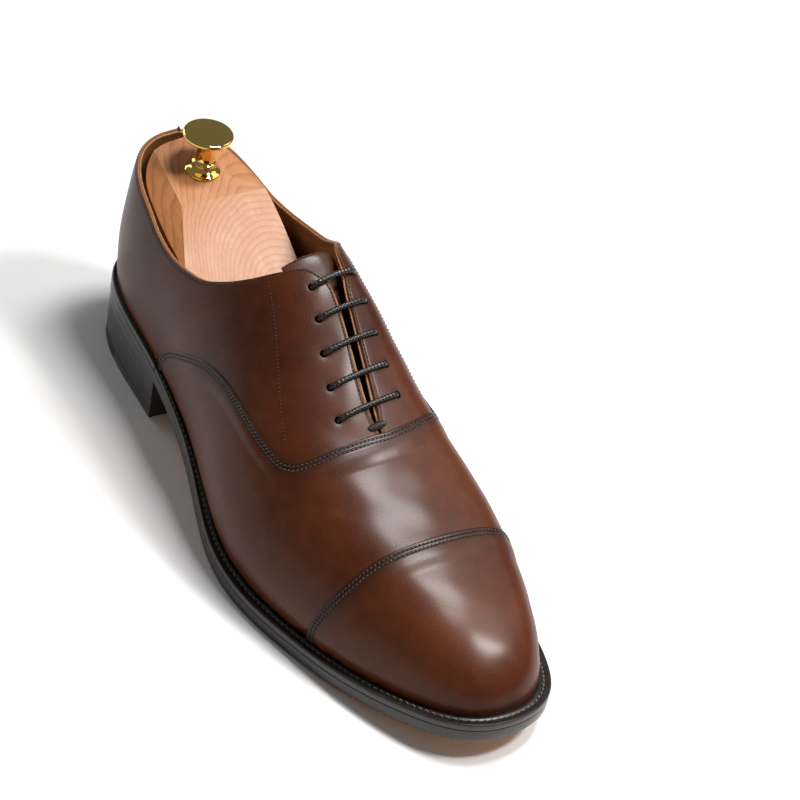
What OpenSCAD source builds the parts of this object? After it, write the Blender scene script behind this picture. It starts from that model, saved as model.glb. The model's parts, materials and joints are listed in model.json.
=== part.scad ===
// Leather cap-toe oxford, the wearer's right shoe, with its hinged cedar shoe tree.
// +X runs to the toe, +Y to the wearer's inner (medial) side, +Z up.
// The origin is the middle of the heel's tread, on the floor.

/* [Size] */
// Length of the last the shoe is built on, heel curve to toe, in mm
last_length = 290; // [240:1:320]
// Width of the last across the ball, in mm
ball_width = 92; // [80:0.5:110]
// Height of the heel at its front edge, floor to seat, in mm
heel_height = 23; // [15:0.5:35]

/* [Upper] */
// Thickness of the upper leather, in mm
upper_t = 1.2; // [0.8:0.1:2]
// Thickness of the lining leather, in mm
lining_t = 0.8; // [0.5:0.1:1.5]
// Thickness of the heel counter and toe puff, in mm
stiffener_t = 0.5; // [0.4:0.1:1]
// Thickness of the tongue, in mm
tongue_t = 1.8; // [1:0.1:3]

/* [Lacing] */
// Number of eyelet pairs
eyelet_pairs = 5; // [4:1:6]
// Diameter of a punched eyelet hole, in mm
eyelet_hole_d = 3.4; // [2.5:0.1:5]
// Diameter of the round waxed lace, in mm
lace_d = 2.5; // [1.8:0.1:3.2]

/* [Bottom] */
// Thickness of the outsole, in mm
outsole_t = 5; // [3:0.5:10]
// Thickness of the welt, in mm
welt_t = 3.2; // [2:0.1:5]
// How far the upper's foot sits below the welt's top, in mm
upper_sink = 0.6; // [0.2:0.1:1.5]
// Thickness of the insole, in mm
insole_t = 3; // [2:0.1:5]
// How far the welt stands out from the last at the forepart, in mm
welt_out = 9; // [6:0.1:14]
// How far the edge stands out from the last at the heel, in mm
heel_out = 5.4; // [3.5:0.1:9]
// How far back of the origin's front the heel breast is, in mm
heel_breast_x = 38; // [20:1:50]
// Thickness of the heel's top piece, in mm
top_piece_t = 6; // [4:0.5:8]
// Number of whole leather lifts above the top piece
lifts = 3; // [2:1:5]

/* [Shoe tree] */
// Clearance between the tree and the lining, in mm
tree_gap = 1.2; // [0.5:0.1:3]
// Diameter of the hinge pin, in mm
hinge_pin_d = 5; // [3:0.5:8]
// Distance of the hinge pin forward of the origin, in mm
hinge_x = 68; // [60:1:80]
// Height of the hinge pin above the floor, in mm
hinge_z = 43; // [38:1:50]
// Width of the heel block's hinge arm, in mm
arm_w = 12; // [8:1:20]
// Diameter of the brass knob's head, in mm
knob_d = 22; // [16:1:34]
// Height of the knob above its seat in the deck, in mm
knob_h = 21.5; // [19:0.5:32]

/* [Hidden] */
$fn = 48;
lx = last_length / 290; // scale along the shoe
wy = ball_width / 92; // scale across the shoe
sole_t = outsole_t + welt_t - upper_sink; // the upper's foot above the tread

// The last, as cross-sections from heel to toe. Each row holds x, the lateral and medial half widths
// at the feather edge, the feather's height above the tread, the ridge's height, the ridge's y, how far
// the wall bulges beyond the feather on each side, and how full each shoulder is from 0 to 1.
LAST = [
  [-35, 0, 0, 24, 109, 0, 0, 0, 0, 0],
  [-35, -18.5, 15.5, 24, 109, 0, 0.5, 0.5, 1.2, 0.8],
  [-13, -30, 27.5, 23.5, 111, 0.5, 2, 2, 0.95, 0.62],
  [25, -31.5, 29, 22.5, 115.5, 2, 3, 3, 0.55, 0.55],
  [60, -34.5, 27.5, 17.5, 116.5, 5, 5.5, 7.5, 0.55, 0.6],
  [94, -38.5, 25.5, 7.5, 107, 8, 8.5, 11.5, 0.6, 0.72],
  [125, -47.5, 31.5, 1.5, 85, 6.5, 7.5, 9.5, 0.68, 0.8],
  [153, -49.5, 38, 0, 68.5, 5.5, 4.5, 6, 0.74, 0.86],
  [182, -42.5, 42, 0, 57.5, 6, 4.5, 3, 0.76, 0.88],
  [212, -34.5, 38, 2, 49.5, 7, 3, 1, 0.74, 0.84],
  [240, -22, 30, 6.5, 40.5, 6, 1, 1, 0.7, 0.74],
  [257.5, -10.5, 18, 10, 29, 4, 0, 0, 0.6, 0.6],
  [257.5, 3, 3, 10, 17.7, 3, 0, 0, 0, 0]];
// Heights of a section's control points from feather to ridge, as a fraction
RISE = [0, 0.17, 0.52, 0.93, 1];
// How far the back of the heel curves in and out at those heights, in mm
HEEL_CURVE = [2, -2, -1.5, 5.5, 9.5];
HEEL_SHARE = [1, 1, 0.55]; // how much of it the first three sections take

nu = len(LAST);
nv = 9;

// ---- spline surface of the last -------------------------------------------------------------
// Clamped uniform cubic B-spline: knot i of n control points, and the four weights at parameter t
function knot(n, i) = min(max(i - 3, 0), n - 3);
function weights(n, t) =
  let(s = min(floor(t), n - 4), k = s + 3,
      a1 = t - knot(n, k), a2 = t - knot(n, k - 1), a3 = t - knot(n, k - 2),
      b1 = knot(n, k + 1) - t, b2 = knot(n, k + 2) - t, b3 = knot(n, k + 3) - t,
      p0 = b1 / (b1 + a1), p1 = a1 / (b1 + a1),
      q0 = p0 / (b1 + a2), q1 = p1 / (b2 + a1),
      m0 = b1 * q0, m1 = a2 * q0 + b2 * q1, m2 = a1 * q1,
      c0 = m0 / (b1 + a3), c1 = m1 / (b2 + a2), c2 = m2 / (b3 + a1))
  [s, [b1 * c0, a3 * c0 + b2 * c1, a2 * c1 + b3 * c2, a1 * c2]];

// One cross-section's control point j, 0 and 8 at the feather edge, 4 on the ridge
function section_point(i, j) =
  let(r = LAST[i], up = j <= 4 ? j : 8 - j,
      yl = r[1], ym = r[2], zf = r[3] + sole_t, zt = r[4], yt = r[5],
      share = i < len(HEEL_SHARE) ? HEEL_SHARE[i] : 0,
      ys = [yl, yl - r[6], yl - 0.6 * r[6] + 0.06 * (yt - yl), yt + (yl - yt) * r[8], yt,
            yt + (ym - yt) * r[9], ym + 0.6 * r[7] - 0.06 * (ym - yt), ym + r[7], ym])
  [lx * (r[0] + share * HEEL_CURVE[up]), wy * ys[j], zf + RISE[up] * (zt - zf)];
NET = [for (i = [0:nu - 1]) [for (j = [0:nv - 1]) section_point(i, j)]];

function blend4(w, p0, p1, p2, p3) = w[0] * p0 + w[1] * p1 + w[2] * p2 + w[3] * p3;
// Point of the last: u runs 0 to 1 from heel to toe, v 0 to 1 from the lateral to the medial feather edge
function last_point(u, v) =
  let(a = weights(nu, u * (nu - 3)), b = weights(nv, v * (nv - 3)), i = a[0], j = b[0], w = b[1],
      q = [for (k = [0:3]) let(r = NET[i + k]) blend4(w, r[j], r[j + 1], r[j + 2], r[j + 3])])
  blend4(a[1], q[0], q[1], q[2], q[3]);
function clamp(x, a, b) = min(max(x, a), b);
function unit(p) = p / norm(p);
eps = 0.002;
// Outward normal; on the back seam it looks straight back, at the toe's end straight ahead
function last_normal(u, v) =
  u >= 1 ? [1, 0, 0] :
  let(uu = clamp(u, 2 * eps, 1 - 2 * eps), v1 = max(v - eps, 0), v2 = min(v + eps, 1),
      du = last_point(uu + eps, v) - last_point(uu - eps, v),
      dv = last_point(uu, v2) - last_point(uu, v1),
      n = unit(cross(du, dv)))
  u <= 0 ? unit([n[0], 0, n[2]]) : n;
function on_last(u, v, off) = off == 0 ? last_point(u, v) : last_point(u, v) + off * last_normal(u, v);

// u where the last's point at v has a given x
function u_search(x, v, lo, hi, k) =
  k == 0 ? (lo + hi) / 2 :
  let(m = (lo + hi) / 2)
  last_point(m, v)[0] < x ? u_search(x, v, m, hi, k - 1) : u_search(x, v, lo, m, k - 1);
function u_at(x, v) = u_search(lx * x, v, 0, 1, 15);
function uv(p) = [u_at(p[0], p[1]), p[1]];

// Catmull-Rom curve through the points of a list, s from 0 to its last index
function cr(p, s) =
  let(n = len(p) - 1, i = clamp(floor(s), 0, n - 1), t = s - i,
      b = p[i], c = p[i + 1], a = i > 0 ? p[i - 1] : 2 * b - c, d = i < n - 1 ? p[i + 2] : 2 * c - b)
  0.5 * (2 * b + (c - a) * t + (2 * a - 5 * b + 4 * c - d) * t * t + (3 * b - a - 3 * c + d) * t * t * t);
function curve(p, n) = [for (i = [0:n]) cr(p, i / n * (len(p) - 1))];
function join(a, b) = concat(a, [for (i = [1:len(b) - 1]) b[i]]); // two curves that share an end
function mirror_v(c) = [for (p = c) [p[0], 1 - p[1]]];
function reversed(c) = [for (i = [len(c) - 1:-1:0]) c[i]];
function lin(a, b, n) = [for (i = [0:n]) a + (b - a) * i / n];
function mix(a, b, t) = a + (b - a) * t;
function smooth(a, b, x) = let(t = clamp((x - a) / (b - a), 0, 1)) t * t * (3 - 2 * t);

// ---- solids made from grids ---------------------------------------------------------------
// Triangles of a grid of (rows x cols) points numbered from k, seen from the outer side
function grid_faces(rows, cols, k, flip) =
  [for (i = [0:rows - 2], j = [0:cols - 2])
    let(a = k + i * cols + j, b = a + 1, c = a + cols + 1, d = a + cols)
    each flip ? [[a, c, b], [a, d, c]] : [[a, b, c], [a, c, d]]];
function flat(a) = [for (r = a) each r];
function rim_faces(rows, cols, k) =
  let(loop = concat([for (j = [0:cols - 2]) j], [for (i = [0:rows - 2]) i * cols + cols - 1],
                    [for (j = [cols - 1:-1:1]) (rows - 1) * cols + j], [for (i = [rows - 1:-1:1]) i * cols]),
      n = len(loop))
  [for (i = [0:n - 1]) let(a = loop[i], b = loop[(i + 1) % n]) each [[a, a + k, b + k], [a, b + k, b]]];
// A shell between two grids of the same size, outer first
module shell(outer, inner, flip) {
  rows = len(outer);
  cols = len(outer[0]);
  k = rows * cols;
  f = concat(grid_faces(rows, cols, 0, false), grid_faces(rows, cols, k, true), rim_faces(rows, cols, k));
  polyhedron(points = concat(flat(outer), flat(inner)), faces = flip ? f : [for (t = f) [t[0], t[2], t[1]]]);
}
// A patch of leather on the last: rows run between the curves a and b (lists of [u, v]), at the
// fractions in ts; off gives the inner face's distance from the last at each fraction
module patch(a, b, ts, off, t, flip) {
  function at(d) = [for (i = [0:len(a) - 1]) [for (j = [0:len(ts) - 1])
    let(p = mix(a[i], b[i], ts[j])) upper_point(p[0], p[1], off[j] + d)]];
  shell(at(t), at(0), flip);
}
// A closed bar whose rings all have the same number of points, with flat ends
function ring_faces(rings, n) =
  concat([for (i = [0:rings - 2], j = [0:n - 1])
           let(a = i * n + j, b = i * n + (j + 1) % n)
           each [[a, b, b + n], [a, b + n, a + n]]],
         [for (j = [1:n - 2]) [0, j + 1, j]],
         [for (j = [1:n - 2]) let(k = (rings - 1) * n) [k, k + j, k + j + 1]]);
module bar(rings, flip = false) {
  f = ring_faces(len(rings), len(rings[0]));
  polyhedron(points = flat(rings), faces = flip ? [for (t = f) [t[0], t[2], t[1]]] : f);
}
// Turn +Z to the direction d
module aim(d) {
  rotate([0, acos(clamp(d[2] / norm(d), -1, 1)), atan2(d[1], d[0])]) children();
}

// ---- edges of the sole --------------------------------------------------------------------
// Plan direction out of the feather edge, side 0 lateral and 1 medial
function edge_dir(u, side) =
  u <= 0 ? [-1, 0] : u >= 1 ? [1, 0] :
  let(t = last_point(min(u + eps, 1), side) - last_point(max(u - eps, 0), side),
      s = side == 0 ? 1 : -1)
  unit([s * t[1], -s * t[0]]);
// Height of the feather edge along the shoe; it runs on in a straight line beyond both ends
sweep = let(q = [for (i = [0:60]) let(p = last_point(i / 60, 0)) [p[0], p[2]]],
            a = q[0], b = q[6], y = q[60], z = q[54],
            back = (b[1] - a[1]) / (b[0] - a[0]), front = (y[1] - z[1]) / (y[0] - z[0]))
  concat([[a[0] - 30, a[1] - 30 * back]], q, [[y[0] + 30, y[1] + 30 * front]]);
function edge(u, side, off, dz) =
  let(p = last_point(u, side), d = edge_dir(u, side), x = p[0] + off * d[0])
  [x, p[1] + off * d[1], lookup(x, sweep) + dz];
// A point of the upper, whose foot stays level with the welt
function upper_point(u, v, off) =
  v <= 0 || u >= 1 ? edge(u, 0, off, 0)
                   : v >= 1 ? edge(u, 1, off, 0) : last_point(u, v) + off * last_normal(u, v);
// How far the finished edge stands out, from heel to forepart
function edge_out(u) = let(x = last_point(u, 0)[0]) mix(heel_out, welt_out, smooth(45, 135, x / lx));
// u where the edge reaches x
function u_edge_search(x, side, off, lo, hi, k) =
  k == 0 ? (lo + hi) / 2 :
  let(m = (lo + hi) / 2) edge(m, side, off, 0)[0] < x ? u_edge_search(x, side, off, m, hi, k - 1)
                                                     : u_edge_search(x, side, off, lo, m, k - 1);
function u_edge(x, side, off) = u_edge_search(x, side, off, 0, 1, 14);
breast_l = u_edge(heel_breast_x, 0, heel_out);
breast_m = u_edge(heel_breast_x, 1, heel_out);
// Stations along the whole sole, closer together round the heel and the toe
function whole() = concat(lin(0, 0.15, 11), lin(0.175, 0.85, 26), lin(0.862, 1, 11));
// A plate that follows the sole's sweep, with lateral and medial stations in pairs; z0 and z1 are measured
// from the feather edge
module plate(ul, um, offs, z0, z1) {
  n = len(ul) - 1;
  bar([for (i = [0:n]) let(o = offs[i])
    [edge(ul[i], 0, o, z0), edge(um[i], 1, o, z0), edge(um[i], 1, o, z1), edge(ul[i], 0, o, z1)]], true);
}
// A strip along the edge: path is a list of [u, side], profile a list of [offset, height]
module strip(path, profiles) {
  bar([for (i = [0:len(path) - 1]) [for (q = profiles[i]) edge(path[i][0], path[i][1], q[0], q[1])]]);
}
function front_path(ul, um, n) =
  join([for (u = concat(lin(ul, 0.85, n), lin(0.87, 1, 8))) [u, 0]],
       reversed([for (u = concat(lin(um, 0.85, n), lin(0.87, 1, 8))) [u, 1]]));
function back_path(ul, um, n) =
  join(reversed([for (u = lin(0, um, n)) [u, 1]]), [for (u = lin(0, ul, n)) [u, 0]]);

// ---- seam lines, as [x, v] ------------------------------------------------------------------
// The vamp's top edge, lateral half and (as 1 - v) medial half
seam_v = [[38, 0], [41, 0.035], [47, 0.065], [58, 0.1], [78, 0.155], [100, 0.2], [134, 0.26], [144, 0.29],
          [148, 0.335], [149, 0.4], [149, 0.5]];
seam_m = [[38, 0], [41, 0.035], [47, 0.065], [58, 0.1], [78, 0.155], [98, 0.2], [126, 0.26], [139, 0.305],
          [143, 0.36], [147, 0.44], [149, 0.5]];
// Edge of the collar, lateral and (as 1 - v) medial; the lateral side is cut lower, for the ankle bone
topline_v = [[-34, 0.315], [-26, 0.285], [-13, 0.245], [0, 0.22], [14, 0.195], [30, 0.19], [50, 0.215],
             [64, 0.26], [74, 0.315], [80, 0.375], [84, 0.44], [87, 0.475]];
topline_m = [[-34, 0.315], [-28, 0.285], [-15, 0.255], [0, 0.225], [10, 0.215], [27, 0.225], [50, 0.26],
             [62, 0.305], [70, 0.36], [75, 0.41], [78, 0.43]];
// Edges of the facings, top to throat; they meet a little to the lateral side of the middle
facing_v = [[87, 0.475], [95, 0.48], [135, 0.475], [148, 0.48], [158, 0.48]];
facing_m = [[78, 0.43], [86, 0.44], [96, 0.47], [108, 0.485], [125, 0.495], [140, 0.505], [148, 0.515],
            [158, 0.515]];
function end_of(a) = a[len(a) - 1];
meeting = (end_of(facing_m)[1] - end_of(facing_v)[1]) / 2; // how far to the lateral side they meet, in v
facing_stitch_v = [[77, 0.345], [105, 0.32], [138, 0.295]];
// Line of the eyelets from the throat up, lateral and (as 1 - v) medial
eyelets_v = [[139.5, 0.41], [115.5, 0.415], [91.5, 0.43]];
eyelets_m = [[136, 0.44], [112.5, 0.43], [88.5, 0.41]];
cap_v = [[188, 0], [191.5, 0.12], [195, 0.27], [195.5, 0.5], [195, 0.73], [191.5, 0.88], [188, 1]];
lining_v = [[112, 0], [128, 0.17], [142, 0.34], [147, 0.5]]; // where the linings meet

upper_in = lining_t + stiffener_t + 0.7; // inner face of the outer leather, from the last
over_in = upper_in + upper_t + 0.35; // inner face where one piece lies over another
upper_out = upper_in + upper_t;

function on_seam(list, n) = [for (p = curve(list, n)) uv(p)];
function heel_feather(x, n) = [for (u = lin(0, u_at(x, 0), n)) [u, 0]];

// ---- upper ----------------------------------------------------------------------------------
underlap = 6.5; // how far a piece runs on under the next, in mm
lap = 9; // how far the upper piece stays raised over it
function gap_at(a, b) = norm(last_point(a[0], a[1]) - last_point(b[0], b[1]));
// The hidden edge of the piece that runs under the border a, from its end up to point k
function under(a, b, k) =
  [for (i = [0:k]) i < 3 ? [u_at(last_point(a[i][0], a[i][1])[0] / lx - 0.8, a[i][1]), a[i][1]]
                         : mix(a[i], b[i], underlap / max(gap_at(a[i], b[i]), underlap))];
cap_back = on_seam(cap_v, 26);
cap_front = [for (p = cap_back) [1, p[1]]];
cap_under = let(n = len(cap_back) - 1, a = under(cap_back, cap_front, 13),
                b = under(reversed(cap_back), reversed(cap_front), 13)) join(a, reversed(b));
vamp_back = join(on_seam(seam_v, 28), reversed(mirror_v(on_seam(seam_m, 28))));
vamp_side = [for (u = lin(u_at(seam_v[0][0], 0), cap_under[0][0], 15)) [u, 0]];
vamp_front = join(join(vamp_side, cap_under), reversed(mirror_v(vamp_side)));
function tail(a) = [for (i = [1:len(a) - 1]) a[i]];
// Moves the end of a half border from the middle to the line where the facings meet
function to_meeting(c, side) =
  [for (p = c) [p[0], p[1] + (side == 0 ? -meeting : meeting) * smooth(0.36, 0.5, p[1])]];
// Borders of a quarter as matching lists of [u, v], the medial ones as 1 - v: below along the feather edge
// and under the vamp, above along the collar and down the facing
function quarter_foot(back, front, side) =
  to_meeting(join(heel_feather(seam_v[0][0] - 0.8, 10), under(back, front, 28)), side);
quarter_low = quarter_foot(vamp_back, vamp_front, 0);
quarter_low_m = quarter_foot(mirror_v(reversed(vamp_back)), mirror_v(reversed(vamp_front)), 1);
function collar_and_facing(top, facing, n, m) =
  concat([[0, top[0][1]]], tail(on_seam(top, n)), tail(on_seam(facing, m)));
quarter_high = collar_and_facing(topline_v, facing_v, 24, 14);
quarter_high_m = collar_and_facing(topline_m, facing_m, 24, 14);
quarter_rows = lin(0, 1, 9);
// The lining's facing stands out a little past the leather's and stops at the throat
function to_lining(f) =
  concat([f[0]], [for (p = tail(f)) if (p[0] < 146) [p[0], p[1] + 0.006]], [[147, end_of(f)[1] - 0.002]]);
lining_low = join(heel_feather(lining_v[0][0], 14), on_seam(lining_v, 8));
lining_high = collar_and_facing(topline_v, to_lining(facing_v), 14, 8);
lining_high_m = collar_and_facing(topline_m, to_lining(facing_m), 14, 8);
function flat_off(n, d) = [for (i = [0:n - 1]) d];

// Fractions across a patch that overlaps its neighbour: close together over the lap, then even
function lap_rows(d, lap, n) =
  let(p = min(lap, 0.7 * d) / max(d, 0.01), q = min(lap + 3.5, 0.85 * d) / max(d, 0.01))
  concat([0, p / 2, p], [for (k = [0:n]) mix(q, 1, k / n)]);
function lap_rise(i, n) = smooth(0, 2.4, min(i, n - i));
// A patch whose edge a lies over its neighbour for the lap's width
module lapped(a, b, lap, n) {
  m = len(a) - 1;
  d = [for (i = [0:m]) gap_at(a[i], b[i])];
  rows = [for (i = [0:m]) lap_rows(d[i], lap, n)];
  function at(t) = [for (i = [0:m]) [for (j = [0:len(rows[0]) - 1]) let(p = mix(a[i], b[i], rows[i][j]))
    upper_point(p[0], p[1], upper_in + t + (j < 3 ? lap_rise(i, m) * (over_in - upper_in) : 0))]];
  shell(at(upper_t), at(0), false);
}
// Points a fixed distance d in from the border a, towards b
function rail(a, b, d) = [for (i = [0:len(a) - 1]) mix(a[i], b[i], min(1, d / max(gap_at(a[i], b[i]), d)))];
function inner_part(a, k) = [for (i = [k:len(a) - 1 - k]) a[i]];
// Two rows of thread just inside a lapped edge
module double_row(a, b, k) {
  for (d = [1.4, 3.4])
    patch(inner_part(rail(a, b, d), k), inner_part(rail(a, b, d + 0.5), k), [0, 1],
          flat_off(2, over_in + upper_t + 0.05), 0.3, false);
}

// Eyelets, counted from the throat up
function mm_v(u) = 0.04 / norm(last_point(u, 0.52) - last_point(u, 0.48)); // v per mm near the ridge
// Place of eyelet k (a fraction is allowed), or d mm from it towards the facing's edge
function eyelet_uv(k, side, d = 0) =
  let(line = side == 0 ? eyelets_v : eyelets_m, p = cr(line, k / (eyelet_pairs - 1) * (len(line) - 1)),
      u = u_at(p[0], p[1]), v = p[1] + d * mm_v(u))
  side == 0 ? [u, v] : [u, 1 - v];
module eyelet_bores(side) {
  for (k = [0:eyelet_pairs - 1]) {
    e = eyelet_uv(k, side);
    translate(on_last(e[0], e[1], 1)) aim(last_normal(e[0], e[1]))
      cylinder(d = eyelet_hole_d, h = 9, center = true);
  }
}

module quarter(side) {
  difference() {
    if (side == 0) patch(quarter_low, quarter_high, quarter_rows, flat_off(10, upper_in), upper_t, true);
    else patch(mirror_v(quarter_low_m), mirror_v(quarter_high_m), quarter_rows,
          flat_off(10, upper_in), upper_t, false);
    eyelet_bores(side);
  }
}
module quarter_lining(side) {
  difference() {
    low = to_meeting(lining_low, side);
    if (side == 0) patch(low, lining_high, lin(0, 1, 7), flat_off(8, 0), lining_t, true);
    else patch(mirror_v(low), mirror_v(lining_high_m), lin(0, 1, 7), flat_off(8, 0), lining_t, false);
    eyelet_bores(side);
  }
}
brown = [0.31, 0.16, 0.10];
module toe_cap() { color(brown) lapped(cap_back, cap_front, lap, 8); }
module vamp() { color(brown) lapped(vamp_back, vamp_front, lap, 8); }
module quarter_lateral() { color(brown) quarter(0); }
module quarter_medial() { color(brown) quarter(1); }

// A band round the back of the heel, lateral u to medial u, between two heights in v
function round_heel(u, v, n) =
  concat([for (t = lin(u, 0, n)) [t, v]], [for (t = tail(lin(0, u, n))) [t, 1 - v]]);
module back_strap() {
  u = 0.022;
  color(brown) patch(round_heel(u, 0.2, 5), round_heel(u, 0.262, 5), lin(0, 1, 3),
                     flat_off(4, upper_out + 0.3), 0.7, false);
}
module tongue() {
  xs = lin(76, 157, 20);
  a = [for (x = xs) uv([x, 0.38])];
  b = [for (x = xs) uv([x, 0.6])];
  color([0.17, 0.09, 0.06]) patch(a, b, lin(0, 1, 8), flat_off(9, -5.3), tongue_t, true);
}

// ---- lining and stiffeners ------------------------------------------------------------------
tan = [0.72, 0.52, 0.33];
module vamp_lining() {
  half = on_seam([for (p = lining_v) [p[0] + 1.2, p[1]]], 10);
  a = join(half, reversed(mirror_v(half)));
  color(tan) patch(a, [for (p = a) [1, p[1]]], lin(0, 1, 12), flat_off(13, 0), lining_t, false);
}
module quarter_lining_lateral() { color(tan) quarter_lining(0); }
module quarter_lining_medial() { color(tan) quarter_lining(1); }
module heel_counter() {
  u = u_at(62, 0);
  low = round_heel(u, 0, 18);
  high = [for (p = low) let(v = mix(0.2, 0.04, smooth(0.1, u, p[0]))) [p[0], p[1] < 0.5 ? v : 1 - v]];
  color([0.62, 0.5, 0.38]) patch(low, high, lin(0, 1, 6), flat_off(7, lining_t + 0.22), stiffener_t, false);
}
module toe_puff() {
  a = on_seam([[206, 0], [208, 0.25], [209, 0.5], [208, 0.75], [206, 1]], 20);
  color([0.62, 0.5, 0.38])
    patch(a, [for (p = a) [1, p[1]]], lin(0, 1, 8), flat_off(9, lining_t + 0.35), stiffener_t, false);
}

// ---- lacing ---------------------------------------------------------------------------------
module blind_eyelets() {
  color([0.55, 0.5, 0.4])
    for (side = [0, 1], k = [0:eyelet_pairs - 1]) {
      e = eyelet_uv(k, side);
      translate(on_last(e[0], e[1], -1.05)) aim(last_normal(e[0], e[1]))
        difference() {
          cylinder(d = eyelet_hole_d + 2, h = 0.35, $fn = 24);
          translate([0, 0, -1]) cylinder(d = eyelet_hole_d, h = 3, $fn = 24);
        }
    }
}
module throat_bar_tack() {
  u = u_at(146, 0.481);
  color([0.14, 0.08, 0.05])
    translate(on_last(u, 0.481, upper_out + 0.75)) aim(last_normal(u, 0.481)) rotate([0, 0, 10]) {
      cube([2.2, 9.2, 1.3], center = true);
      cube([3.4, 1.4, 1.3], center = true);
    }
}
lace_run = -2.0; // depth of the runs behind the facings
lace_over = upper_out + lace_d / 2 + 0.25; // height of the bars across the facings
function eye(k, side, off) = let(e = eyelet_uv(k, side)) on_last(e[0], e[1], off);
function run(k, side, d, off) = let(e = eyelet_uv(k, side, d)) on_last(e[0], e[1], off);
function across(k, s, off) =
  let(a = eyelet_uv(k, 0), b = eyelet_uv(k, 1), p = mix(a, b, s)) on_last(p[0], p[1], off);
// One bar of lacing, in through both holes, from side a
function bar_points(k, from) =
  let(q = [eye(k, 0, lace_run + 0.3), eye(k, 0, 1.3),
         across(k, 0.03, lace_over - 0.5), across(k, 0.15, lace_over),
           across(k, 0.32, lace_over), across(k, 0.5, lace_over), across(k, 0.68, lace_over),
           across(k, 0.85, lace_over), across(k, 0.97, lace_over - 0.5),
            eye(k, 1, 1.3), eye(k, 1, lace_run + 0.3)])
  from == 0 ? q : reversed(q);
// The lace's way, from the end tucked behind the fourth medial hole to the one behind the fifth lateral
lace_points = concat(
  [run(2.65, 1, 3.4, lace_run), run(2.85, 1, 3.0, lace_run)],
  bar_points(3, 1), [run(2.8, 0, 1.5, lace_run), run(2.4, 0, 3.0, lace_run), run(2, 0, 3.2, lace_run),
                     run(1.6, 0, 3.0, lace_run), run(1.2, 0, 1.5, lace_run)],
  bar_points(1, 0), [run(0.75, 1, 0.3, lace_run), run(0.25, 1, 0.3, lace_run)],
  bar_points(0, 1), [run(0.2, 0, -1.5, lace_run), run(0.6, 0, -3.0, lace_run), run(1, 0, -3.2, lace_run),
                     run(1.4, 0, -3.0, lace_run), run(1.8, 0, -1.5, lace_run)],
  bar_points(2, 0), [run(2.2, 1, -1.5, lace_run), run(2.6, 1, -3.0, lace_run), run(3, 1, -3.2, lace_run),
                     run(3.4, 1, -3.0, lace_run), run(3.8, 1, -1.5, lace_run)],
  bar_points(4, 1), [run(3.85, 0, -3.0, lace_run), run(3.65, 0, -3.6, lace_run)]);
function tangent(p, i) = unit(p[min(i + 1, len(p) - 1)] - p[max(i - 1, 0)]);
function transport(p, i, a, acc) =
  i == len(p) ? acc
              : let(t = tangent(p, i), b = unit(a - (a * t) * t)) transport(p, i + 1, b, concat(acc, [b]));
module cord(p, d, sides) {
  n = transport(p, 0, unit(cross(tangent(p, 0), [0.3, 0.2, 1])), []);
  bar([for (i = [0:len(p) - 1]) let(t = tangent(p, i), b = cross(t, n[i]))
    [for (k = [0:sides - 1]) p[i] + d / 2 * (cos(360 * k / sides) * n[i] + sin(360 * k / sides) * b)]], true);
}
module lace() {
  color([0.10, 0.06, 0.05]) cord(curve(lace_points, 2 * (len(lace_points) - 1)), lace_d, 8);
}
module lace_tips() {
  n = len(lace_points);
  color([0.10, 0.06, 0.05]) {
    for (p = [[lace_points[0], lace_points[0] - lace_points[1]],
              [lace_points[n - 1], lace_points[n - 1] - lace_points[n - 2]]])
      translate(p[0] + 0.15 * unit(p[1])) aim(p[1]) cylinder(d = lace_d - 0.3, h = 9, $fn = 20);
  }
}

// ---- seam threads ---------------------------------------------------------------------------
dark = [0.12, 0.07, 0.05];
module cap_seam_thread() { color(dark) double_row(cap_back, cap_front, 3); }
module vamp_seam_thread() { color(dark) double_row(vamp_back, vamp_front, 4); }
module facing_row(side) {
  a = on_seam(facing_stitch_v, 16);
  b = on_seam([for (p = facing_stitch_v) [p[0], p[1] + 0.005]], 16);
  if (side == 0) patch(a, b, [0, 1], flat_off(2, upper_out + 0.05), 0.3, true);
  else patch(mirror_v(a), mirror_v(b), [0, 1], flat_off(2, upper_out + 0.05), 0.3, false);
}
module facing_thread_lateral() { color(dark) facing_row(0); }
module facing_thread_medial() { color(dark) facing_row(1); }

// ---- bottom ---------------------------------------------------------------------------------
welt_low = upper_sink - welt_t + 0.02; // underside of the welt, from the feather edge
rib_out = -3.9;
// Where the welt's top begins, clear of the upper's overhang at the waist
function welt_in(u) = let(x = last_point(u, 0)[0] / lx)
  upper_out + 0.45 + 0.8 * smooth(30, 60, x) * (1 - smooth(125, 150, x));
function welt_profile(u) = let(o = edge_out(u))
  [[rib_out, welt_low], [o, welt_low], [o, upper_sink - 0.4], [o - 0.6, upper_sink], [welt_in(u), upper_sink],
   [welt_in(u), -0.12], [rib_out, -0.12]];
module edge_strip(path) { strip(path, [for (p = path) welt_profile(p[0])]); }
natural = [0.78, 0.6, 0.42];
stained = [0.09, 0.07, 0.06];
module welt() { color(stained) edge_strip(front_path(breast_l + 0.001, breast_m + 0.001, 26)); }
module heel_rand() { color(stained) edge_strip(back_path(breast_l - 0.001, breast_m - 0.001, 20)); }
module welt_thread() {
  p = front_path(breast_l + 0.01, breast_m + 0.01, 26);
  color([0.25, 0.17, 0.11])
    strip(p, [for (q = p) let(o = (welt_in(q[0]) + edge_out(q[0])) / 2, z = upper_sink + 0.05)
      [[o - 0.3, z], [o + 0.3, z], [o + 0.3, z + 0.35], [o - 0.3, z + 0.35]]]);
}
module outsole() {
  u = whole();
  color(stained) plate(u, u, [for (t = u) edge_out(t)], -sole_t, welt_low - 0.06);
}
module insole() {
  u = whole();
  color(natural) plate(u, u, [for (t = u) -0.6 - 1.2 * smooth(200, 245, last_point(t, 0)[0] / lx)],
                       0.12, 0.12 + insole_t);
}
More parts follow.
